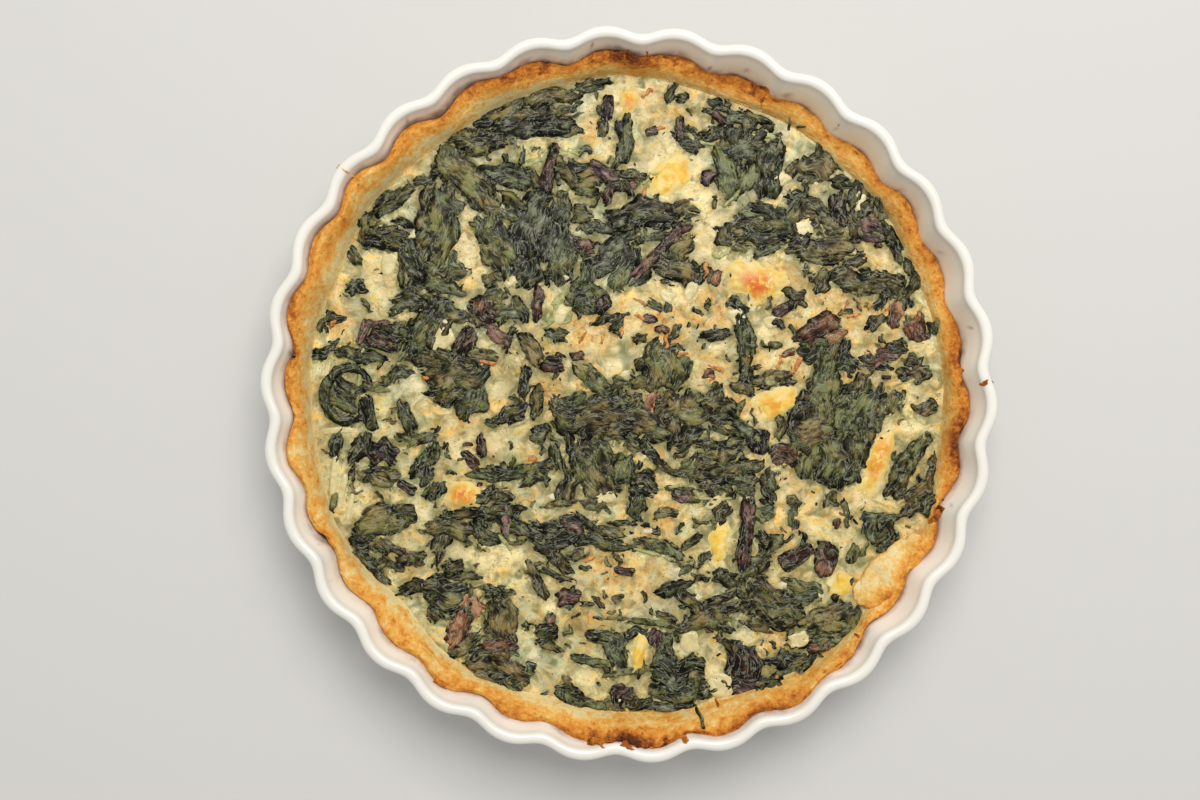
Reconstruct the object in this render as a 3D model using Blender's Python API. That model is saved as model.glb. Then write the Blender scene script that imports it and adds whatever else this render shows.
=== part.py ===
"""Spinach quiche, baked and served in its own white fluted ceramic dish.

Nothing on it moves.  From the table up it is: the fluted dish; a pastry case pressed
against the inside of the dish, its rim baked to an uneven height; the set custard
filling; and, on the filling, lumps of cheese, pieces of purple stem and leaf, and wilted
green leaves.  Every piece is its own closed solid, and neighbours stay CLEARANCE apart.

Units are metres, +Z is up, and the origin is the middle of the dish's underside.
"""

import math

import bmesh
import bpy
from mathutils import Vector

MM = 0.001
DEGREES = math.pi / 180

# ---------------------------------------------------------------- driving dimensions

CLEARANCE = 0.35 * MM

# The flutes: a wave that runs round the dish and shapes its wall inside and out.
FLUTES = 30
FLUTE_HEIGHT = 1.6 * MM
FIRST_CREST = -2 * DEGREES
COLUMNS_PER_FLUTE = 5
COLUMNS = FLUTES * COLUMNS_PER_FLUTE

# The dish.  Radii are the middle of the wave.
DISH_HEIGHT = 38 * MM
RIM_OUTER_RADIUS = 138.5 * MM
RIM_INNER_RADIUS = 133.9 * MM
FOOT_RADIUS = 124.0 * MM
FOOT_ROUNDING = 3.0 * MM
OUTER_LEAN = math.tan(18 * DEGREES)
INNER_LEAN = math.tan(19 * DEGREES)
FLOOR_HEIGHT = 5.0 * MM
FLOOR_CORNER = 2.5 * MM
LIP_HEIGHT = 2.0 * MM

# The pastry case.
BASE_PASTRY = 3.5 * MM
CASE_RIM_HEIGHT = 28.0 * MM
CASE_RIM_LOWEST = 23.6 * MM
CASE_RIM_HIGHEST = 36.2 * MM
CASE_INNER_RADIUS = 122.8 * MM
CASE_INNER_HEIGHT = 22.5 * MM
CASE_WALL_FOOT_RADIUS = 120.5 * MM

# Where the case's rim stands above or below its usual height, and where the line between
# pastry and filling lies further out or in: direction and half width in degrees, then how
# much in millimetres.
RIM_RISES = (
    (14, 16, -3.2), (36, 8, 2.6), (46, 34, -5.7), (72, 8, -2.3), (90, 8, 3.2), (112, 8, 5.1),
    (124, 8, 1.3), (150, 34, 6.9), (166, 8, 1.7), (192, 10, 3.1), (214, 16, -0.9), (234, 8, 3.0),
    (268, 8, 2.9), (282, 34, 6.8), (302, 8, 3.9), (320, 8, -2.1), (334, 26, -1.0), (342, 8, -2.3),
)
INNER_BULGES = (
    (22, 16, -1.6), (47, 12, -1.6), (71, 12, -2.0), (92, 9, 1.6), (122, 14, -1.2), (145, 8, 1.0),
    (157, 8, -1.3), (173, 14, 1.2), (204, 10, 1.6), (223, 9, -3.6), (240, 8, 1.0), (256, 8, -1.2),
    (278, 14, 1.4), (308, 16, 3.6), (338, 8, 2.4), (352, 10, -0.8),
)

# The custard filling.
FILLING_EDGE_HEIGHT = 21.3 * MM
FILLING_DOME = 1.0 * MM
FILLING_COLUMNS = 72
FILLING_RING_STEP = 12 * MM
FILLING_SWELLS = ((70 * MM, 25, 0.35 * MM), (95 * MM, 110, 0.45 * MM))

# What lies on the filling, in millimetres and degrees:
# (x, y, length, width, turn, bend), the bend being how far the piece curves end to end.
CHEESE_LUMPS = (
    (50, 44, 22, 14, 0, 0),
    (57, -4, 22, 11, 18, 0),
    (82, -74.5, 10, 8, 75, 0),
    (98, -26, 32, 9, 65, 10),
    (35, -58, 20, 6, 85, -15),
    (17, 83, 22, 15, 30, 0),
    (0, 113, 10, 9, 90, 0),
    (4.5, -100, 15, 5.5, 82, 35),
    (-64, -39, 13, 11, 0, 0),
)
PURPLE_PIECES = (
    (-30.5, 87.5, 19, 5, 76, 0),
    (-8, 111, 9.5, 4.5, 85, 0),
    (12, 54, 32, 4.5, 46, 12),
    (50.5, -18, 10, 8.5, 85, 0),
    (81.5, 71, 13, 7, 95, 0),
    (94, 64, 13, 9, -10, 0),
    (-95, 21, 13, 7, -20, 10),
    (-95, -23, 11, 9, -10, 0),
    (-63, 20, 12, 7, 60, 0),
    (-56, 31, 12, 7, -20, 0),
    (45, -104, 14, 11, 80, 0),
    (74, 25, 19, 7, 22, 10),
    (60, -24, 8.5, 7.5, 0, 0),
)
GREEN_LEAVES = (
    (-64, 84, 26, 11, -48, 8),
    (-59.5, 98, 20, 8.5, 8, 15),
    (-46.5, 85.5, 20, 8, -15, -15),
    (-95, 61, 16, 8, 3, 0),
    (-91, 73.5, 16, 4.5, 33, 12),
    (-74, 63, 25, 13, 72, 15),
    (-52, 62.5, 16, 10, -65, 10),
    (-38, 61, 26, 13, 85, 0),
    (-19, 85, 17, 9, -5, 0),
    (-2, 98, 19, 7, 80, 10),
    (-33, 104, 26, 7, 4, -10),
    (6, 69, 30, 9, 6, -10),
    (54, 88, 20, 11, 78, 10),
    (74, 88.5, 13, 9, -35, 0),
    (53, 63, 20, 10, 5, 0),
    (94, 42, 28, 7, -6, -10),
    (45, 20, 26, 6, 95, 10),
    (12, 11, 17, 13, 85, 0),
    (76, -2, 24, 11, 75, 0),
    (90, -6, 22, 10, 75, 10),
    (79, -26, 20, 12, 80, 0),
    (108, -29, 18, 7, 62, 10),
    (-12, -9, 30, 14, -8, 15),
    (-13, -30, 20, 12, -75, 10),
    (36, -32, 24, 9, 8, 20),
    (-78, 27, 18, 12, 50, 0),
    (-67, 5, 20, 13, 20, 0),
    (-95, -48, 18, 10, 5, 0),
    (-49, -88, 17, 12, 85, 0),
    (19, -108, 20, 13, -10, 10),
    (58, -82, 24, 12, 5, -10),
    (78, -86, 16, 7, 25, 10),
)
CURLED_LEAF = (-117.9, 0, 46, 4, -90, 280)
PASTRY_FLAP = (94, -67, 20, 9.5, 56, 0)

CHEESE_THICKNESS = 3.4 * MM
FLAP_THICKNESS = 3.2 * MM
PURPLE_THICKNESS = 1.6 * MM
LEAF_THICKNESS = 1.3 * MM


# ---------------------------------------------------------------- scene and materials

def clear_scene():
    """Empty the scene, so that a second run starts from nothing."""
    for thing in list(bpy.data.objects):
        bpy.data.objects.remove(thing, do_unlink=True)


def finish(name, colour, roughness):
    """A Principled material of one colour."""
    material = bpy.data.materials.new(name)
    material.use_nodes = True
    shader = material.node_tree.nodes["Principled BSDF"]
    shader.inputs["Base Color"].default_value = (*colour, 1.0)
    shader.inputs["Roughness"].default_value = roughness
    shader.inputs["Metallic"].default_value = 0.0
    return material


def add_object(name, shape, material, crease=50 * DEGREES):
    """Make an object of a bmesh, smooth but for the edges sharper than crease."""
    mesh = bpy.data.meshes.new(name)
    shape.to_mesh(mesh)
    shape.free()
    mesh.shade_smooth()
    mesh.set_sharp_from_angle(angle=crease)
    mesh.materials.append(material)
    thing = bpy.data.objects.new(name, mesh)
    bpy.context.scene.collection.objects.link(thing)
    return thing


# ---------------------------------------------------------------- shared shapes

def flute_wave(angle):
    """The flutes' wave, 1 on a crest and -1 in a trough."""
    return math.cos(FLUTES * (angle - FIRST_CREST))


def column_angles(columns):
    """Evenly spaced directions, the first of them on a crest."""
    return [FIRST_CREST + 2 * math.pi * column / columns for column in range(columns)]


def bumps_at(angle, bumps):
    """All the bumps of a list added up in one direction, each nearly 0 a half width away."""
    total = 0.0
    for centre, half_width, much in bumps:
        away = (math.degrees(angle) - centre + 180) % 360 - 180
        total += much * math.exp(-2 * (away / half_width) ** 2)
    return total * MM


def rings_to_solid(rings, low_centre, high_centre):
    """A closed bmesh through rings of equal length, capped by a fan at each end.

    The rings run up the outside and down the inside, each counter-clockwise."""
    shape = bmesh.new()
    loops = [[shape.verts.new(point) for point in ring] for ring in rings]
    count = len(rings[0])
    for lower, upper in zip(loops, loops[1:]):
        for here in range(count):
            after = (here + 1) % count
            shape.faces.new((lower[here], lower[after], upper[after], upper[here]))
    bottom = shape.verts.new(low_centre)
    top = shape.verts.new(high_centre)
    for here in range(count):
        after = (here + 1) % count
        shape.faces.new((bottom, loops[0][after], loops[0][here]))
        shape.faces.new((top, loops[-1][here], loops[-1][after]))
    return shape


def ring(radius_at, height_at, columns):
    """A ring of points whose radius and height are functions of direction."""
    return [
        Vector((radius_at(a) * math.cos(a), radius_at(a) * math.sin(a), height_at(a)))
        for a in column_angles(columns)
    ]


# ---------------------------------------------------------------- the dish

def dish_inner_radius(height):
    """Mean radius of the dish's inner wall at a height."""
    return RIM_INNER_RADIUS - (DISH_HEIGHT - LIP_HEIGHT - height) * INNER_LEAN


def dish_profile():
    """The dish's section from its foot, over the lip, to its floor: (radius, height)."""
    wall_start = FLOOR_HEIGHT + FLOOR_CORNER
    lip_start = DISH_HEIGHT - LIP_HEIGHT
    lip_middle = (RIM_OUTER_RADIUS + RIM_INNER_RADIUS) / 2
    foot_top = RIM_OUTER_RADIUS - (lip_start - FOOT_ROUNDING) * OUTER_LEAN
    return (
        (FOOT_RADIUS, 0),
        (foot_top, FOOT_ROUNDING),
        (RIM_OUTER_RADIUS, lip_start),
        (lip_middle + 0.5 * MM, DISH_HEIGHT),
        (lip_middle - 0.5 * MM, DISH_HEIGHT),
        (RIM_INNER_RADIUS, lip_start),
        (dish_inner_radius(wall_start), wall_start),
        (dish_inner_radius(wall_start) - FLOOR_CORNER, FLOOR_HEIGHT),
    )


def make_dish(material):
    rings = [
        ring(lambda a, r=radius: r + FLUTE_HEIGHT * flute_wave(a), lambda a, z=height: z, COLUMNS)
        for radius, height in dish_profile()
    ]
    floor = Vector((0, 0, FLOOR_HEIGHT))
    return add_object("dish", rings_to_solid(rings, Vector(), floor), material)


# ---------------------------------------------------------------- the pastry case

def case_rim_height(angle):
    """Height of the pastry rim, which stands taller where it has puffed up the wall."""
    ripple = (0.5 * math.sin(17 * angle) + 0.4 * math.sin(29 * angle + 1)) * MM
    height = CASE_RIM_HEIGHT + bumps_at(angle, RIM_RISES) + ripple
    return min(max(height, CASE_RIM_LOWEST), CASE_RIM_HIGHEST)


def case_outer_radius(angle):
    """Radius of the pastry's outer edge, just under its rim."""
    height = case_rim_height(angle) - 1.5 * MM
    return dish_inner_radius(height) + FLUTE_HEIGHT * flute_wave(angle) - CLEARANCE


def case_inner_radius(angle):
    """Radius of the line where the pastry meets the filling."""
    return CASE_INNER_RADIUS + bumps_at(angle, INNER_BULGES)


def make_case(material):
    """The pastry case: a thin base and a wall whose top slopes in towards the filling."""
    under = FLOOR_HEIGHT + CLEARANCE
    base_top = under + BASE_PASTRY
    corner = FLOOR_HEIGHT + FLOOR_CORNER
    wall_foot = dish_inner_radius(corner) - CLEARANCE
    wave = FLUTE_HEIGHT
    bands = (
        (lambda a: wall_foot - 3 * MM + wave * flute_wave(a), lambda a: under),
        (lambda a: wall_foot - 0.2 * MM + wave * flute_wave(a), lambda a: corner + 0.2 * MM),
        (case_outer_radius, lambda a: case_rim_height(a) - 1.5 * MM),
        (lambda a: case_outer_radius(a) - 1.2 * MM, case_rim_height),
        (
            lambda a: 0.45 * case_outer_radius(a) + 0.55 * case_inner_radius(a),
            lambda a: 0.35 * case_rim_height(a) + 0.65 * CASE_INNER_HEIGHT,
        ),
        (case_inner_radius, lambda a: CASE_INNER_HEIGHT),
        (lambda a: CASE_WALL_FOOT_RADIUS, lambda a: base_top + 3.2 * MM),
        (lambda a: CASE_WALL_FOOT_RADIUS - 2.8 * MM, lambda a: base_top),
    )
    rings = [ring(radius_at, height_at, COLUMNS) for radius_at, height_at in bands]
    low = Vector((0, 0, under))
    high = Vector((0, 0, base_top))
    return add_object("crust", rings_to_solid(rings, low, high), material)


# ---------------------------------------------------------------- the filling

def filling_height(x, y):
    """Height of the filling's top: a slight dome with long, shallow swells."""
    dome = FILLING_DOME * (1 - (x * x + y * y) / CASE_INNER_RADIUS ** 2)
    swell = 0.0
    for length, heading, size in FILLING_SWELLS:
        along = x * math.cos(heading * DEGREES) + y * math.sin(heading * DEGREES)
        swell += size * math.sin(2 * math.pi * along / length)
    return FILLING_EDGE_HEIGHT + dome + swell


def make_filling(material):
    gap = 1.4 * CLEARANCE
    base = FLOOR_HEIGHT + BASE_PASTRY + 2 * CLEARANCE
    foot = CASE_WALL_FOOT_RADIUS - gap
    rings = [
        ring(lambda a: foot - 3.0 * MM, lambda a: base, FILLING_COLUMNS),
        ring(lambda a: foot, lambda a: base + 3.3 * MM, FILLING_COLUMNS),
    ]
    steps = round(CASE_INNER_RADIUS / FILLING_RING_STEP)
    for step in range(steps, 0, -1):
        share = step / steps
        surface = []
        for angle in column_angles(FILLING_COLUMNS):
            radius = share * (case_inner_radius(angle) - 0.9 * MM - gap)
            x = radius * math.cos(angle)
            y = radius * math.sin(angle)
            surface.append(Vector((x, y, filling_height(x, y))))
        rings.append(surface)
    low = Vector((0, 0, base))
    high = Vector((0, 0, filling_height(0, 0)))
    return add_object("filling", rings_to_solid(rings, low, high), material)


# ---------------------------------------------------------------- what lies on it

def half_width(share, bluntness):
    """Outline of a piece along its length: 1 in the middle, narrow at both ends."""
    return 0.22 + 0.78 * math.sin(math.pi * share) ** bluntness


def place_on_arc(share, length, bend):
    """A point on the piece's middle line, and the line's heading there."""
    turned = bend * (share - 0.5)
    if abs(bend) < 1 * DEGREES:
        return Vector((length * (share - 0.5), 0)), 0.0
    radius = length / bend
    return Vector((radius * math.sin(turned), radius * (1 - math.cos(turned)))), turned


def make_topping(name, placing, thickness, material, across, stations, bluntness, ragged):
    """A piece lying on the filling, lofted along a bent middle line.

    Each section has two points underneath and `across` points over the top."""
    x, y, length, width, turn, bend = placing
    turn = turn * DEGREES
    rows = []
    for station in range(stations):
        share = station / (stations - 1)
        middle, heading = place_on_arc(share, length * MM, bend * DEGREES)
        heading += turn
        centre = Vector((x * MM, y * MM)) + Vector(
            (
                middle.x * math.cos(turn) - middle.y * math.sin(turn),
                middle.x * math.sin(turn) + middle.y * math.cos(turn),
            )
        )
        side = Vector((-math.sin(heading), math.cos(heading)))
        half = 0.5 * width * MM * half_width(share, bluntness)
        wobble = ragged * math.sin(5.3 * station + x)
        offsets = [(half, 0.0), (-half, 0.0)]
        for point in range(across):
            reach = 2 * point / (across - 1) - 1
            crown = 0.35 + 0.65 * (1 - reach * reach) * math.sin(math.pi * (0.1 + 0.8 * share))
            offsets.append((half * reach * (1 + 0.5 * wobble), thickness * crown * (1 - wobble)))
        row = []
        for sideways, above in offsets:
            place = centre + side * sideways
            under = filling_height(place.x, place.y) + CLEARANCE
            row.append(Vector((place.x, place.y, under + above)))
        rows.append(row)
    return add_object(name, loft(rows), material)


def loft(rows):
    """A closed bmesh through equal sections, with an n-gon cap at each end."""
    shape = bmesh.new()
    loops = [[shape.verts.new(point) for point in row] for row in rows]
    count = len(rows[0])
    for near, far in zip(loops, loops[1:]):
        for here in range(count):
            after = (here + 1) % count
            shape.faces.new((near[after], near[here], far[here], far[after]))
    shape.faces.new(loops[0])
    shape.faces.new(reversed(loops[-1]))
    bmesh.ops.recalc_face_normals(shape, faces=shape.faces)
    return shape


def make_toppings(kind, placings, thickness, material, **form):
    """One object for each placing, numbered from 01."""
    for number, placing in enumerate(placings, start=1):
        make_topping(f"{kind}_{number:02d}", placing, thickness, material, **form)


def main():
    clear_scene()
    glaze = finish("white glaze", (0.86, 0.84, 0.78), 0.18)
    pastry = finish("baked pastry", (0.62, 0.34, 0.11), 0.7)
    custard = finish("set custard", (0.66, 0.55, 0.26), 0.45)
    cheese = finish("melted cheese", (0.86, 0.62, 0.22), 0.4)
    purple = finish("purple stem", (0.075, 0.05, 0.05), 0.45)
    leaf = finish("wilted leaf", (0.06, 0.065, 0.04), 0.4)

    make_dish(glaze)
    make_case(pastry)
    make_filling(custard)
    make_topping(
        "pastry_flap", PASTRY_FLAP, FLAP_THICKNESS, pastry,
        across=5, stations=7, bluntness=0.6, ragged=0.0,
    )
    make_toppings(
        "cheese", CHEESE_LUMPS, CHEESE_THICKNESS, cheese,
        across=5, stations=6, bluntness=0.5, ragged=0.12,
    )
    make_toppings(
        "purple", PURPLE_PIECES, PURPLE_THICKNESS, purple,
        across=3, stations=5, bluntness=0.35, ragged=0.08,
    )
    make_toppings(
        "leaf", GREEN_LEAVES, LEAF_THICKNESS, leaf,
        across=3, stations=6, bluntness=0.6, ragged=0.15,
    )
    make_topping(
        "curled_leaf", CURLED_LEAF, LEAF_THICKNESS, leaf,
        across=3, stations=15, bluntness=0.3, ragged=0.1,
    )


main()
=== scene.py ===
"""Looks of the spinach quiche in its fluted dish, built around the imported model.

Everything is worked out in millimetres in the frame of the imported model, and turned into
metres where a mesh is made.  The dish, the pastry case, the custard and what lies on it
are meshes from formulas; what repeats is one joined mesh for each kind of thing.
"""

import math

import bpy
import numpy as np
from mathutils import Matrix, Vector


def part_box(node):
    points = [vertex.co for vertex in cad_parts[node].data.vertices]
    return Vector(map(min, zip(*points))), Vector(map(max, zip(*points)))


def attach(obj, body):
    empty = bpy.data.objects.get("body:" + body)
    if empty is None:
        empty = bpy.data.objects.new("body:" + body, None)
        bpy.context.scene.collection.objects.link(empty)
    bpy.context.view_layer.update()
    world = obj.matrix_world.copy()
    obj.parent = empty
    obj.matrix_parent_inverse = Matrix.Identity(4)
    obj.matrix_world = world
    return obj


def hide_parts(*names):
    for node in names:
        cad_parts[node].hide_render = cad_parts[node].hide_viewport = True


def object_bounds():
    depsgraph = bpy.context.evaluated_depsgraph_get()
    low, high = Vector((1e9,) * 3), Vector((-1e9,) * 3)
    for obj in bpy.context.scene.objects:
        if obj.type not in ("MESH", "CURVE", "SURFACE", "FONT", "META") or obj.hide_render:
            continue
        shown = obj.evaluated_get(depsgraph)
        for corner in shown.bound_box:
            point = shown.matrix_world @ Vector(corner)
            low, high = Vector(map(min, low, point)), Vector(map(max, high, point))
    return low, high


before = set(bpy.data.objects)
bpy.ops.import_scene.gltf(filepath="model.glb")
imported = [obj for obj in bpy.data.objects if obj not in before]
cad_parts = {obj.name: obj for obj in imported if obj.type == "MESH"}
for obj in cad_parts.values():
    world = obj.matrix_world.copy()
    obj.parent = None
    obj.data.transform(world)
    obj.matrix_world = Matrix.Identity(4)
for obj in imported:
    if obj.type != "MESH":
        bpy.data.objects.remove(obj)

CAD_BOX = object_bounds()
MM = 0.001
TURN = 2 * math.pi

# ------------------------------------------------------------ sizes read from the frame


def box_mm(node):
    """A node's lowest and highest corner in millimetres."""
    low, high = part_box(node)
    return np.array(low) / MM, np.array(high) / MM


def middle_mm(node):
    """The middle of a node's box, seen from above, in millimetres."""
    low, high = box_mm(node)
    return tuple((low[:2] + high[:2]) / 2)


def nodes_named(start):
    """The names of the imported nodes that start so, in order."""
    return sorted(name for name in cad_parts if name.startswith(start))


# The dish: thirty flutes, a rounded lip, walls that lean out.
FLUTES = 30
FLUTE_HEIGHT = 1.6
FIRST_CREST = math.radians(-2)
DISH_HEIGHT = box_mm("dish")[1][2]
RIM_OUTER = 138.5
LIP_WIDTH = 4.6
RIM_INNER = RIM_OUTER - LIP_WIDTH
LIP_DROP = 2.0
LIP_START = DISH_HEIGHT - LIP_DROP
OUTER_LEAN = math.tan(math.radians(18))
INNER_LEAN = math.tan(math.radians(19))
UNDERSIDE_HEIGHT = 1.0
FOOT_HEIGHT = 3.0
FOOT_RADIUS = 122.8
FLOOR_HEIGHT = 5.0
FLOOR_CORNER = 2.5

# The pastry case.
CASE_INNER = 122.8
CASE_INNER_HEIGHT = 22.4
CASE_RIM_HEIGHT = 28.0
CASE_RIM_LOWEST = 23.4
CASE_RIM_HIGHEST = DISH_HEIGHT - 1.4
CASE_BOTTOM = box_mm("crust")[0][2] + 0.3
CASE_FLOOR = box_mm("crust")[0][2] + 3.5
# The radius at which a direction is turned into millimetres along the rim.
RIM_MIDDLE = 130.0

# The custard.
CUSTARD_EDGE = 21.4
CUSTARD_DOME = 1.0
CUSTARD_BOTTOM = box_mm("filling")[0][2]

# How finely the big pieces are divided.
DISH_COLUMNS = 720
CASE_COLUMNS = 960
CUSTARD_CELLS = 270
FLAP_ROWS = 40
FLAP_COLUMNS = 72

# ------------------------------------------------------------ noise


def hashed(ix, iy, seed):
    """A repeatable number from 0 to 1 for each lattice corner."""
    mixed = (ix * 374761393 + iy * 668265263 + seed * 1013904223) & 0x7FFFFFFF
    mixed = ((mixed ^ (mixed >> 13)) * 1274126177) & 0x7FFFFFFF
    return ((mixed ^ (mixed >> 15)) & 0xFFFF) / 65535.0


# Keeps the lattice corners' numbers above zero.
LATTICE_SHIFT = 700.0


def noise(x, y, size, seed):
    """Smooth noise from -1 to 1 whose patches are about `size` millimetres across."""
    turned = 0.61 * seed
    u = (x * math.cos(turned) - y * math.sin(turned)) / size + LATTICE_SHIFT
    v = (x * math.sin(turned) + y * math.cos(turned)) / size + LATTICE_SHIFT
    ix = np.floor(u).astype(np.int64)
    iy = np.floor(v).astype(np.int64)
    fx = u - ix
    fy = v - iy
    fx = fx * fx * fx * (fx * (6 * fx - 15) + 10)
    fy = fy * fy * fy * (fy * (6 * fy - 15) + 10)
    low = hashed(ix, iy, seed) * (1 - fx) + hashed(ix + 1, iy, seed) * fx
    high = hashed(ix, iy + 1, seed) * (1 - fx) + hashed(ix + 1, iy + 1, seed) * fx
    return 2 * (low * (1 - fy) + high * fy) - 1


def layered(x, y, size, seed, layers=3):
    """Noise with finer, weaker noise on top of it, about -1 to 1."""
    total = 0.0
    for layer in range(layers):
        total = total + noise(x, y, size / 2**layer, seed + 11 * layer) / 2**layer
    return total / 1.6


def ridges(x, y, size, seed):
    """Sharp crests on a smooth field, 0 in the valleys and 1 on the crests."""
    return 1 - np.abs(noise(x, y, size, seed))


def step_up(value, low, high):
    """0 below low, 1 above high and smooth between."""
    share = np.clip((value - low) / (high - low), 0, 1)
    return share * share * (3 - 2 * share)


def degrees_from(angle, centre):
    """How many degrees angles in radians lie from a direction in degrees."""
    return (np.degrees(angle) - centre + 180) % 360 - 180


def around(angle, centre, half_width):
    """1 at a direction and nearly 0 a half width away."""
    return np.exp(-2 * (degrees_from(angle, centre) / half_width) ** 2)


def all_round(columns, first=0.0):
    """Evenly spaced directions round the whole turn, in radians."""
    return first + TURN * np.arange(columns) / columns


# ------------------------------------------------------------ meshes


def make_mesh(name, points, face_groups, masks, material):
    """A smooth mesh object from points in millimetres and arrays of equal-sided faces."""
    mesh = bpy.data.meshes.new(name)
    corners = np.concatenate([group.ravel() for group in face_groups]).astype(np.int32)
    sizes = np.concatenate([np.full(len(group), group.shape[1]) for group in face_groups])
    starts = np.concatenate([[0], np.cumsum(sizes)[:-1]]).astype(np.int32)
    mesh.vertices.add(len(points))
    mesh.vertices.foreach_set("co", (points * MM).astype(np.float32).ravel())
    mesh.loops.add(len(corners))
    mesh.polygons.add(len(sizes))
    mesh.polygons.foreach_set("loop_start", starts)
    mesh.polygons.foreach_set("vertices", corners)
    for mask, values in masks.items():
        values = np.asarray(values, np.float32)
        if values.ndim == 2:
            layer = mesh.attributes.new(mask, "FLOAT_VECTOR", "POINT")
            layer.data.foreach_set("vector", values.ravel())
        else:
            layer = mesh.attributes.new(mask, "FLOAT", "POINT")
            layer.data.foreach_set("value", values)
    mesh.update(calc_edges=True)
    mesh.validate()
    mesh.shade_smooth()
    mesh.materials.append(material)
    piece = bpy.data.objects.new(name, mesh)
    bpy.context.scene.collection.objects.link(piece)
    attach(piece, "root")
    return piece


def grid_faces(rows, columns, closed=False, first=0):
    """Quads of a grid of points that is stored row by row."""
    row = np.arange(rows - 1)[:, None] * columns
    column = np.arange(columns if closed else columns - 1)[None, :]
    after = (column + 1) % columns
    quads = np.stack(
        [row + column, row + after, row + columns + after, row + columns + column], axis=-1
    )
    return quads.reshape(-1, 4) + first


def turned_faces(rows, columns):
    """Faces of a turned solid: its rings, then a fan of triangles at each end."""
    last = (rows - 1) * columns
    here = np.arange(columns)
    after = (here + 1) % columns
    bottom = np.full(columns, rows * columns)
    under = np.stack([bottom, after, here], axis=-1)
    over = np.stack([bottom + 1, last + here, last + after], axis=-1)
    return [grid_faces(rows, columns, closed=True), under, over]


def turned_points(radius, height, angle, low, high):
    """Points of a turned solid, row by row, and then its two end points."""
    rings = np.stack([radius * np.cos(angle), radius * np.sin(angle), height], axis=-1)
    ends = np.array([[0, 0, low], [0, 0, high]])
    return np.concatenate([rings.reshape(-1, 3), ends])


def smooth_section(values, rows):
    """Rows between control values, along a curve that passes through all of them.

    `values` holds one array for each station; `rows` says how many steps each span has."""
    result = []
    count = len(values)
    for span in range(count - 1):
        before = values[max(span - 1, 0)]
        here = values[span]
        after = values[span + 1]
        beyond = values[min(span + 2, count - 1)]
        for step in range(rows[span]):
            t = step / rows[span]
            curve = (
                2 * here
                + (after - before) * t
                + (2 * before - 5 * here + 4 * after - beyond) * t * t
                + (3 * here - 3 * after + beyond - before) * t**3
            )
            result.append(curve / 2)
    result.append(values[-1])
    return np.array(result)


# ------------------------------------------------------------ materials


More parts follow.
